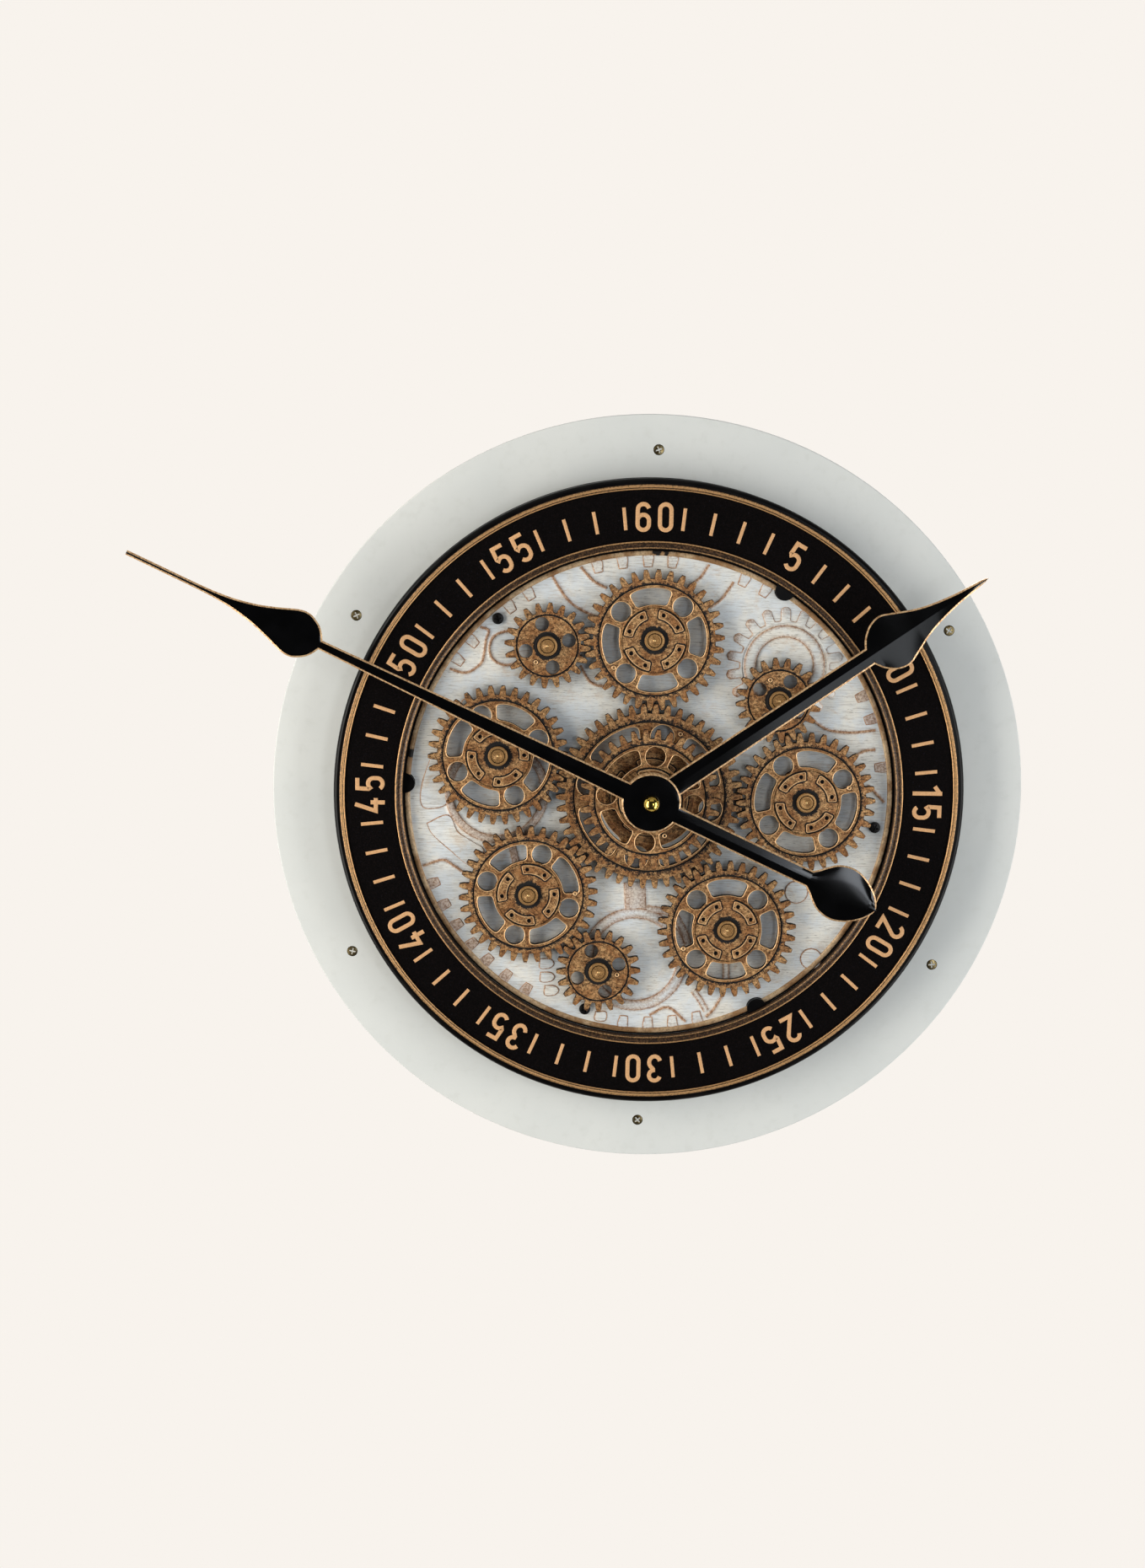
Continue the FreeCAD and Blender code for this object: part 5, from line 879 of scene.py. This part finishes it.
# Hands.
def hand_sides(leaf, arm_half, spade):
    """Right edge of a hand from its tail to its tip, as (distance, half width, section). The
    section is 0 for a ridge, 1 for the domed tail and 2 for the hub."""
    line = []
    if leaf is not None:
        tail = smooth_line(leaf)[::-1] * (-1, 1)
        start = -math.sqrt(HUB_RADIUS ** 2 - leaf[0][1] ** 2)
        line += [np.column_stack([tail, np.full(len(tail), 1.0)])]
        arm = np.linspace(tail[-1, 0], start, 14)[1:-1]
        line += [np.column_stack([arm, np.full(12, leaf[0][1]), np.zeros(12)])]
        first = math.asin(start / HUB_RADIUS)
    else:
        first = -math.pi / 2
    neck, end = spade[0], math.sqrt(HUB_RADIUS ** 2 - arm_half ** 2)
    turn = np.linspace(first, math.asin(end / HUB_RADIUS), 48)
    line += [np.column_stack([HUB_RADIUS * np.sin(turn), HUB_RADIUS * np.cos(turn),
                              np.full(48, 2.0)])]
    arm = np.linspace(end, neck[0], 22)[1:]
    half = arm_half + (neck[1] - arm_half) * (arm - end) / (neck[0] - end)
    line += [np.column_stack([arm, half, np.zeros(len(arm))])]
    blade = smooth_line(spade)[1:]
    line += [np.column_stack([blade, np.zeros(len(blade))])]
    return np.vstack(line)


def add_hand(patch, sides, angle, rear, front, look):
    """Hand seen as stations along its axis, each a closed cross-section.

    Across a station the face is front - drop |v / w|^p: p = 1 for a ridge, more for the domed
    leaf and the flat hub. A gilt strip of even width runs along both edges.
    """
    along, half, kind = sides.T
    strip = look.strip / MM
    edge = np.stack([along, half], -1)
    inward = edge + normals(edge) * np.minimum(strip, 0.62 * half)[:, None]
    inward[:, 1] = np.maximum(inward[:, 1], 0.0)
    power = np.choose(kind.astype(int), [1.0, 2.0, 6.0])
    ridge, dome, hub = look.ridge_drop / MM, look.leaf_drop / MM, 0.3
    ridge = np.minimum(ridge * np.maximum(half / 5.0, 1.0), 0.6 * (front - rear))
    drop = np.choose(kind.astype(int), [ridge, dome, hub])
    shares = np.array([1.0, 0.86, 0.7, 0.5, 0.25, 0.0])
    stations = [(edge, rear), (edge, front - drop - 0.22)]
    for share in shares:
        plane = np.stack([along + (inward[:, 0] - along) * share, inward[:, 1] * share], -1)
        spread = np.clip(plane[:, 1] / np.maximum(half, 1e-6), 0, 1)
        stations.append((plane, front - drop * spread ** power))
    stations += [(plane * (1, -1), depth) for plane, depth in stations[-2::-1]]
    rows = np.stack([np.column_stack([plane, np.broadcast_to(depth, len(along))])
                     for plane, depth in stations])
    tips = [np.broadcast_to(rows[:, [k]].mean(0, keepdims=True), rows[:, :1].shape)
            for k in (0, -1)]
    rows = np.concatenate([tips[0], rows, tips[1]], 1)
    turn = math.radians(angle)
    grid = rows.copy()
    grid[..., 0] = rows[..., 0] * math.sin(turn) + rows[..., 1] * math.cos(turn)
    grid[..., 1] = rows[..., 0] * math.cos(turn) - rows[..., 1] * math.sin(turn)
    paint = np.zeros(len(rows), int)
    paint[[0, 1, -3, -2]] = 1
    patch.add(grid, paint=paint)


# Print.
def arc(x, y, wide, high, start, stop, steps=12):
    """Part of an ellipse, angles in degrees anticlockwise from the right."""
    t = np.radians(np.linspace(start, stop, steps))
    return list(zip(x + wide * np.cos(t), y + high * np.sin(t)))


def digit_strokes(digit, wide, low, high):
    """Middle lines of a digit between its lowest and highest stroke, half a width to each
    side, as (points, closed)."""
    w, top, base = wide, high - wide, low + wide
    waist = low + 0.56 * (high - low)
    strokes = {
        "0": [(arc(0, top, w, w, 0, 180) + arc(0, base, w, w, 180, 360), True)],
        "1": [([(0.55 * w, low - 1.1), (0.55 * w, high + 1.1)], False),
              ([(0.5 * w, high - 0.1), (-0.75 * w, high - 2.7)], False)],
        "2": [(arc(0, top, w, w, 170, -25) + [(-w, low), (w + 0.5, low)], False)],
        "3": [(arc(0, top, w, w, 165, -60) + [(0.1 * w, waist + 0.1)], False),
              ([(-0.1 * w, waist + 0.1), (0.1 * w, waist + 0.1)]
               + arc(0, base + 0.3, w, w + 0.4, 60, -165), False)],
        "4": [([(0.2 * w, high + 1.1), (-w, low + 3.4), (w + 0.9, low + 3.4)], False),
              ([(0.55 * w, low - 1.1), (0.55 * w, low + 6.0)], False)],
        "5": [([(w, high), (-0.85 * w, high), (-w + 0.1, waist)]
               + arc(0, base + 1.7, w, w, 140, 0) + arc(0, base, w, w, 0, -148), False)],
        "6": [(arc(0, top, w, w, 15, 180) + arc(0, base, w, w, 180, 360)
               + arc(0, base + 1.8, w, w, 0, 120), False),
              (arc(0, base + 1.8, w, w, 120, 170, 5), False)],
    }
    return strokes[digit]


def amount(name, description, default, unit="LENGTH"):
    """A number that can be set in the scene."""
    return bpy.props.FloatProperty(name=name, description=description, default=default, unit=unit)


class DialLook(bpy.types.PropertyGroup):
    """Print of the minute ring."""
    bar_width: amount("Bar width", "Width of a minute bar", 0.0017)
    stroke: amount("Stroke", "Width of a numeral's stroke", 0.00205)
    ink: amount("Ink", "Height of the print over the ring", 0.00015)


class GearLook(bpy.types.PropertyGroup):
    """Details of the open gears."""
    face_width: amount("Face width", "Thickness of the web", 0.0030)
    lip_height: amount("Lip height", "Raised edge round the openings", 0.00035)
    hub_rise: amount("Hub rise", "Height of the hub", 0.0008)
    bar_rise: amount("Bar rise", "Height of the curved bars", 0.0006)


class HandLook(bpy.types.PropertyGroup):
    """Section of the hands."""
    strip: amount("Gilt strip", "Width of the gilt edge", 0.00075)
    ridge_drop: amount("Ridge", "Edge below the ridge", 0.0006)
    leaf_drop: amount("Leaf dome", "Edge below the top of the counterweight", 0.0016)


class ReliefLook(bpy.types.PropertyGroup):
    """Motifs of the plate behind the gears."""
    rise: amount("Rise", "Height of the motifs", 0.0005)
    lip_rise: amount("Lip rise", "Height of the rim", 0.0010)


class CaseLook(bpy.types.PropertyGroup):
    """Round pieces of the case."""
    shoulder: amount("Shoulder", "Round of the drum's edge", 0.0022)
    edge_round: amount("Board edge", "Round of the board's edge", 0.0006)
    steps: bpy.props.IntProperty(name="Steps", description="Parts of a full circle",
                                 default=288, min=24)


class StageLook(bpy.types.PropertyGroup):
    """Light round the clock."""
    key: amount("Left light", "Power of the left light", 20.8, "POWER")
    fill: amount("Right light", "Power of the right light", 13.4, "POWER")
    top: amount("Top light", "Power of the top light", 1.6, "POWER")
    glint: amount("Glint", "Power of the lights that grey the facets of the hands", 1.3, "POWER")
    rear: amount("Rear light", "Power of the light behind", 14.0, "POWER")
    sky: amount("Sky", "Level of the light from all sides", 0.12, "NONE")


class PieceOperator:
    """What all the operators share."""
    bl_options = {"REGISTER", "UNDO"}


class CLOCK_OT_case(PieceOperator, bpy.types.Operator):
    """Painted board, black drum and bronze bezels"""
    bl_idname = "clock.case"
    bl_label = "Case"

    def execute(self, context):
        look = context.scene.clock_case
        steps = look.steps
        rear, front = span("mounting_plate")
        rim = span("outer_bezel")[1]
        patch = Patchwork()
        grid = revolved([(BOARD_HOLE, rear), (BOARD_EDGE - 0.3, rear), (BOARD_EDGE, rear + 0.3)]
                        + rounded(BOARD_EDGE, front, look.edge_round / MM, 5)
                        + [(BOARD_HOLE, front), (BOARD_HOLE, rear)], steps)
        grid[:, 1:-2, 1] -= BOARD_LOW
        patch.add(grid)
        patch.build("painted_board", "case", "painted_board", ["painted_board"],
                    "mounting_plate")

        rear, front = span("case_drum")
        dial_rear = span("dial_ring")[0]
        patch = Patchwork()
        patch.add(revolved(
            [(0, FLOOR_REAR), (DRUM_BORE, FLOOR_REAR), (DRUM_BORE, rear), (DRUM_FLANGE, rear),
             (DRUM_FLANGE, FLANGE_FRONT), (DRUM_WALL, FLANGE_FRONT)]
            + rounded(DRUM_WALL, front, look.shoulder / MM, 13)
            + [(DRUM_LIP, front), (DRUM_LIP, dial_rear), (DRUM_SEAT, dial_rear),
               (DRUM_SEAT, dial_rear - SEAT_THICKNESS), (DRUM_BORE, dial_rear - SEAT_THICKNESS),
               (DRUM_BORE, FLOOR_FRONT), (0, FLOOR_FRONT)], steps))
        patch.build("black_drum", "case", "black_enamel", ["black_enamel"], "case_drum")

        dial, inner_rear = span("dial_ring")[1], span("inner_bezel")[0]
        for name, profile in BEZELS.items():
            depths = {"dial": dial, "back": inner_rear if name == "inner_bezel" else dial_rear}
            profile = np.array([(r, depths[d] if d in depths else rim + d, rub)
                                for r, d, rub in profile], float)
            # Painted shade darkens the bezels where they lie deeper than the rim.
            soot = ease(rim - 0.6, rim - 1.2, profile[:, 1])
            patch = Patchwork()
            patch.add(revolved(profile[:, :2], steps), rub=profile[None, :, 2],
                      soot=soot[None])
            patch.build(name + "_rubbed_and_highlit", "case", "bronze", ["bronze"], name, 50.0)
        return {"FINISHED"}


class CLOCK_OT_dial(PieceOperator, bpy.types.Operator):
    """Minute bars, numerals and posts of the black ring"""
    bl_idname = "clock.dial"
    bl_label = "Minute ring"

    def execute(self, context):
        look = context.scene.clock_dial
        front = span("dial_ring")[1]
        ink, shift = look.ink / MM, np.array(PRINT_SHIFT)
        patch = Patchwork()

        def add_stroke(line, wide, closed=False, drop=0.0):
            w, top = wide / 2, front + ink - drop
            profile = [(-w, front - 0.1), (-w, top - 0.04), (-w + 0.06, top),
                       (w - 0.06, top), (w, top - 0.04), (w, front - 0.1)]
            patch.add(carried(np.asarray(line) + shift, profile, closed))

        for minute in range(60):
            if minute % 5:
                ends = [clockwise(6.0 * minute, r) for r in BAR_REACH]
                add_stroke(ends, look.bar_width / MM)
        stroke = look.stroke / MM
        for minute in range(5, 65, 5):
            angle = math.radians(6.0 * minute)
            across = np.array([math.cos(angle), -math.sin(angle)])
            up = np.array([math.sin(angle), math.cos(angle)])
            word = str(minute)
            for k, digit in enumerate(word):
                start = (k - (len(word) - 1) / 2) * DIGIT_PITCH
                strokes = digit_strokes(digit, DIGIT_HALF, stroke / 2, DIGIT_HEIGHT - stroke / 2)
                for low, (line, closed) in enumerate(strokes):
                    points = np.array(line, float)
                    if closed:
                        points = points[np.hypot(*(points - np.roll(points, 1, 0)).T) > 1e-6]
                    else:
                        keep = np.hypot(*np.diff(points, axis=0).T) > 1e-6
                        points = points[np.concatenate([[True], keep])]
                    place = (start + points[:, :1]) * across + (DIGIT_BASE + points[:, 1:]) * up
                    add_stroke(place, stroke, closed, 0.012 * low)
        patch.build("dial_print", "case", "copper_gear", ["dial_print"])
        dress(frame["nodes"]["dial_ring"], "dial_black")
        rear, top = span("dial_posts")
        patch = Patchwork()
        for k in range(3):
            middle = clockwise(POST_ANGLE + 120.0 * k, POST_CIRCLE)
            patch.add(revolved([(0, rear), (POST_RADIUS, rear), (POST_RADIUS, top), (0, top)],
                               SIDES, middle))
        patch.build("dial_posts_round", "case", "black_enamel", ["black_enamel"], "dial_posts")
        return {"FINISHED"}


class CLOCK_OT_relief(PieceOperator, bpy.types.Operator):
    """Raised motifs and rim of the pale plate"""
    bl_idname = "clock.relief"
    bl_label = "Relief"

    def execute(self, context):
        look = context.scene.clock_relief
        front = span("relief_plate")[1]
        rise = look.rise / MM
        patch = Patchwork()
        order = iter(range(1000))

        def add_strip(line, wide, stain, closed=False):
            """Raised strip with a tan-brown edge, a tan wash with painted shade, and a skirt that
            lets the tan fade out.
            """
            k, w = next(order), wide / 2
            high, low, skirt = front + rise - 0.004 * k, front + 0.02 - 0.0002 * k, w + SKIRT
            corner = min(STRIP_CORNER, 0.6 * w)
            profile = [(-skirt, front - 0.3), (-skirt, low - 0.01), (-w - 0.25, low),
                       (-w, high - 0.1), (corner - w, high), (0.0, high), (w - corner, high),
                       (w, high - 0.1), (w + 0.25, low), (skirt, low - 0.01),
                       (skirt, front - 0.3)]
            rub = [0, 0, .5, .85, .6, stain, .6, .85, .5, 0, 0]
            patch.add(carried(line, profile, closed), rub=np.array(rub)[:, None])

        def add_panel(corners, stain=0.1):
            """Raised panel: rings of its outline drawn in towards its middle."""
            high = front + rise - 0.004 * next(order)
            line = smooth_line(list(corners) + [corners[0]], 5)[:-1]
            centre = line.mean(0)
            inward = centre - line
            inward /= np.hypot(*inward.T)[:, None]
            rows = [np.broadcast_to(centre, line.shape), line, line, line + inward * 0.25,
                    line + inward * 0.55, line + inward * 1.1,
                    np.broadcast_to(centre, line.shape)]
            depth = [front - 0.3, front - 0.3, front, high - 0.05, high, high, high]
            grid = grid_of(np.stack(rows), depth)
            grid = np.concatenate([grid, grid[:, :1]], 1)
            patch.add(grid, False, rub=np.array([0, .2, .7, .9, .5, stain, stain])[:, None])

        for x, y, radius, wide, stain in RELIEF_RINGS:
            add_strip(circle(np.arange(96) * 3.75, radius, (x, y)), wide, stain, True)
        for wide, stain, line in RELIEF_BANDS:
            add_strip(smooth_line(line), wide, stain)
        for x, y, radius in RELIEF_DISCS:
            add_panel(circle(np.arange(12) * 30.0, radius, (x, y)))
        for line in RELIEF_LINES:
            add_strip(smooth_line(line), LINE_WIDTH, LINE_SHADE_AND_STAIN)
        for corners in RELIEF_PANELS:
            add_panel(corners)
        half, (low, high) = math.degrees(RIM_TOOTH_HALF / RIM_TOOTH_MIDDLE), RIM_TOOTH_REACH
        for angle in RIM_TEETH:
            stain = 0.6 if 205 < angle < 250 or 60 < angle < 90 else 0.3
            add_panel([clockwise(angle + a, r) for a, r in (
                (-half, high), (-half * 0.9, low + 0.8), (-half * 0.6, low), (half * 0.6, low),
                (half * 0.9, low + 0.8), (half, high))], stain)
        # Cog: radius root + rise with t, the share of half a pitch from a tooth's middle.
        x, y, teeth, root, tip = RELIEF_COG
        angle = np.arange(teeth * 16) * 360.0 / (teeth * 16)
        t = np.abs((angle * teeth / 180.0 + 1.0) % 2.0 - 1.0)
        radius = root + (tip - root) * ease(0.66, 0.44, t) - 1.1 * (t / 0.45) ** 2 * (t < 0.5)
        edge = circle(angle, radius)
        inner = [circle(angle, r) for r in (root - 1.2, root - 1.5)]
        rise_to = front + 0.9 * rise
        rows = [inner[1], edge, edge, edge + normals(edge, True) * 0.35, inner[0], inner[1]]
        grid = grid_of(np.stack(rows) + (x, y), [front - 0.3, front - 0.3, front, rise_to,
                                                 rise_to, front - 0.3])
        rub = np.array([0, .3, .8, .7, .05, 0])[:, None] * np.ones(len(angle))
        # Painted shade: the cog's edge is darker on its lower left.
        rub[3] *= 0.75 + 0.25 * np.sin(np.radians(angle + 20.0 + 180.0))
        patch.add(np.swapaxes(grid, 0, 1), rub=rub.T)
        patch.build("relief_motifs", "case", "pale_relief", ["pale_relief"], crease=60.0)

        patch = Patchwork()
        lip = look.lip_rise / MM
        profile = [(120.2, front - 0.3), (120.2, front), (120.5, front + 0.7 * lip),
                   (121.2, front + lip), (122.2, front + lip), (122.9, front + 0.7 * lip),
                   (123.3, front), (123.64, front + 0.2), (123.64, front - 0.3),
                   (120.2, front - 0.3)]
        grid = revolved(profile, 360)
        soot = np.zeros(grid.shape[:2])
        for x, y in DARK_BITS:
            far = np.hypot(grid[..., 0] - x, grid[..., 1] - y)
            soot = np.maximum(soot, ease(2.4, 1.6, far))
        # Painted shade darkens the lip's outer edge under the inner bezel.
        soot = np.maximum(soot, ease(122.4, 123.0, np.array(profile)[None, :, 0]))
        patch.add(grid, soot=soot)
        patch.build("relief_lip", "case", "pale_relief", ["relief_lip"], crease=60.0)
        return {"FINISHED"}


class CLOCK_OT_gears(PieceOperator, bpy.types.Operator):
    """The ten open gears, each on its own body"""
    bl_idname = "clock.gears"
    bl_label = "Gears"

    def execute(self, context):
        look = context.scene.clock_gear
        bodies = {joint["name"]: joint["child"] for joint in frame["joints"]}
        for name, values in GEARS.items():
            gear_patch(name, look).build(name + "_leafed", bodies[values[1]], "copper_gear",
                                         ["copper_gear"], name)
        return {"FINISHED"}


class CLOCK_OT_axles(PieceOperator, bpy.types.Operator):
    """Turned caps of the gear axles and of the drive shaft"""
    bl_idname = "clock.axles"
    bl_label = "Axles"

    def execute(self, context):
        posts = [values[1] for name, values in GEARS.items()
                 if values[1] != "centre_gears_turn" and name != DRIVEN]
        for node, body, foot, height, joints in (
                ("gear_axles", "case", 4.5, 2.0, posts),
                ("drive_shaft", "lower_right_gear", 2.5, 1.0, [GEARS[DRIVEN][1]])):
            profile = cap_profile(*span(node), foot, height)
            patch = Patchwork()
            for joint in joints:
                patch.add(revolved(profile, SIDES, joint_place(joint)),
                          gild=CAP_HIGHLIGHT[None], soot=CAP_SHADE[None])
            patch.build(node + "_turned", body, "brass", ["axle_metal"], node)
        return {"FINISHED"}


class CLOCK_OT_screws(PieceOperator, bpy.types.Operator):
    """Screws of the board and of the relief plate"""
    bl_idname = "clock.screws"
    bl_label = "Screws"

    def execute(self, context):
        for node, (name, slot, finish, places, head, lift, shank, dome, turn,
                   more) in SCREWS.items():
            rear, front = span(node)
            patch = Patchwork()
            for k, place in enumerate(places):
                add_screw(patch, clockwise(*place), head, front + lift, rear, shank, dome,
                          turn + more * k)
            patch.build(name, "case", slot, [finish], node)
        return {"FINISHED"}


class CLOCK_OT_hands(PieceOperator, bpy.types.Operator):
    """Both hands with gilt edges, and the domed nut"""
    bl_idname = "clock.hands"
    bl_label = "Hands"

    def execute(self, context):
        look = context.scene.clock_hand
        for node, (body, leaf, arm_half, spade, angle) in HANDS.items():
            patch = Patchwork()
            add_hand(patch, hand_sides(leaf, arm_half, spade), angle, *span(node), look)
            patch.build(node + "_gilt", body, "hand_black", ["hand_black", "gilt_edge"], node,
                        HAND_CREASE)
        rear, top = span("hand_nut")
        patch = Patchwork()
        patch.add(revolved([(0, rear), (NUT_RADIUS, rear)]
                           + rounded(NUT_RADIUS, top, NUT_RADIUS, 17), 72))
        patch.build("cap_nut", "minute", "brass", ["polished_brass"], "hand_nut")
        return {"FINISHED"}


class CLOCK_OT_carried(PieceOperator, bpy.types.Operator):
    """Finishes of the pieces that keep their own shape"""
    bl_idname = "clock.carried"
    bl_label = "Carried pieces"

    def execute(self, context):
        for name, node in frame["nodes"].items():
            if node.hide_render or name == "dial_ring":
                continue
            slot = node.data.materials[0].name.split(".")[0]
            if slot not in FINISHES:
                raise RuntimeError("no finish for %s of %s" % (slot, name))
            dress(node, slot)
        return {"FINISHED"}


def add_light(name, place, size, power, colour):
    """Soft rectangular light that looks at the clock."""
    lamp = bpy.data.lights.new(name, "AREA")
    lamp.shape, lamp.size, lamp.size_y = "RECTANGLE", size[0], size[1]
    lamp.energy, lamp.color = power, colour
    thing = bpy.data.objects.new(name, lamp)
    bpy.context.scene.collection.objects.link(thing)
    place, target = np.array(place), np.array(LIT_POINT)
    away = (place - target) / np.linalg.norm(place - target)
    thing.location = place
    thing.rotation_euler = (math.acos(away[2]), 0.0, math.atan2(away[0], -away[1]))


class CLOCK_OT_stage(PieceOperator, bpy.types.Operator):
    """Floor, light, background and camera"""
    bl_idname = "clock.stage"
    bl_label = "Stage"

    def execute(self, context):
        look = context.scene.clock_stage
        mesh = bpy.data.meshes.new("floor")
        mesh.from_pydata([(x * FLOOR_HALF, y * FLOOR_HALF, FLOOR_LOW) for x, y in
                          ((-1, -1), (1, -1), (1, 1), (-1, 1))], [], [(0, 1, 2, 3)])
        floor = bpy.data.objects.new("floor", mesh)
        context.scene.collection.objects.link(floor)
        f = Finish(bpy.data.materials.new("floor"))
        far = f.node("VectorMath", {"operation": "LENGTH"},
                     {0: f.place((1.0, 1.0, 0.0))}, "Value")
        tone = f.node("BsdfDiffuse", {}, {"Color": rgb(*FLOOR_TONE)})
        clear = f.node("BsdfTransparent", {}, {})
        faded = f.node("MixShader", {}, {0: f.step(far, *FLOOR_FADE), 1: tone,
                                                   2: clear})
        f.node("OutputMaterial", {}, {"Surface": faded})
        mesh.materials.append(f.owner)

        for name, (place, size, setting, share, colour) in LIGHTS.items():
            add_light(name, place, size, share * getattr(look, setting), colour)

        world = bpy.data.worlds.new("surroundings")
        context.scene.world = world
        f = Finish(world)
        path = "LightPath"
        seen = f.node(path, {}, {}, "Is Camera Ray")
        mirrored = (f.node(path, {}, {}, "Is Glossy Ray")
                    + f.node(path, {}, {}, "Is Transmission Ray"))
        way = f.node("TexCoord", {}, {}, "Generated")
        behind = f.step(f.node("SeparateXYZ", {}, {0: way}, 1), -0.1, 0.3)
        sky = (0.90 * look.sky, 0.97 * look.sky, 1.08 * look.sky, 1.0)
        level = f.mix(mirrored * (1.0 - behind), sky, (0.02, 0.02, 0.022, 1.0))
        level = f.mix(f.math("ADD", seen, mirrored * behind, clamp=True), level,
                      rgb(*BACKDROP_TONE))
        glow = f.node("Background", {}, {"Color": level})
        f.node("OutputWorld", {}, {"Surface": glow})

        camera = bpy.data.cameras.new("camera")
        camera.sensor_fit, camera.sensor_width = "AUTO", SENSOR
        camera.lens = SENSOR * FOCAL / PICTURE_HEIGHT
        thing = bpy.data.objects.new("camera", camera)
        context.scene.collection.objects.link(thing)
        thing.location = CAMERA_PLACE
        thing.rotation_euler = tuple(math.radians(a) for a in CAMERA_TURN)
        context.scene.camera = thing
        context.scene.view_settings.view_transform = "Standard"
        return {"FINISHED"}


class CLOCK_PT_panel(bpy.types.Panel):
    """Lists the steps in order"""
    bl_idname = "CLOCK_PT_panel"
    bl_label = "Gear clock"
    bl_space_type = "VIEW_3D"
    bl_region_type = "UI"
    bl_category = "Gear clock"

    def draw(self, context):
        for step in STEPS:
            self.layout.operator(step.bl_idname)


LOOKS = {"clock_case": CaseLook, "clock_dial": DialLook, "clock_relief": ReliefLook,
         "clock_gear": GearLook, "clock_hand": HandLook, "clock_stage": StageLook}
STEPS = (CLOCK_OT_case, CLOCK_OT_dial, CLOCK_OT_relief, CLOCK_OT_gears, CLOCK_OT_axles,
         CLOCK_OT_screws, CLOCK_OT_hands, CLOCK_OT_carried, CLOCK_OT_stage)


def register():
    for kind in (*LOOKS.values(), *STEPS, CLOCK_PT_panel):
        bpy.utils.register_class(kind)
    for name, kind in LOOKS.items():
        setattr(bpy.types.Scene, name, bpy.props.PointerProperty(type=kind))


def unregister():
    for name in LOOKS:
        delattr(bpy.types.Scene, name)
    for kind in reversed((*LOOKS.values(), *STEPS, CLOCK_PT_panel)):
        bpy.utils.unregister_class(kind)


def main():
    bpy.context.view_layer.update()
    register()
    for step in STEPS:
        group, name = step.bl_idname.split(".")
        getattr(getattr(bpy.ops, group), name)()


if __name__ == "__main__":
    main()
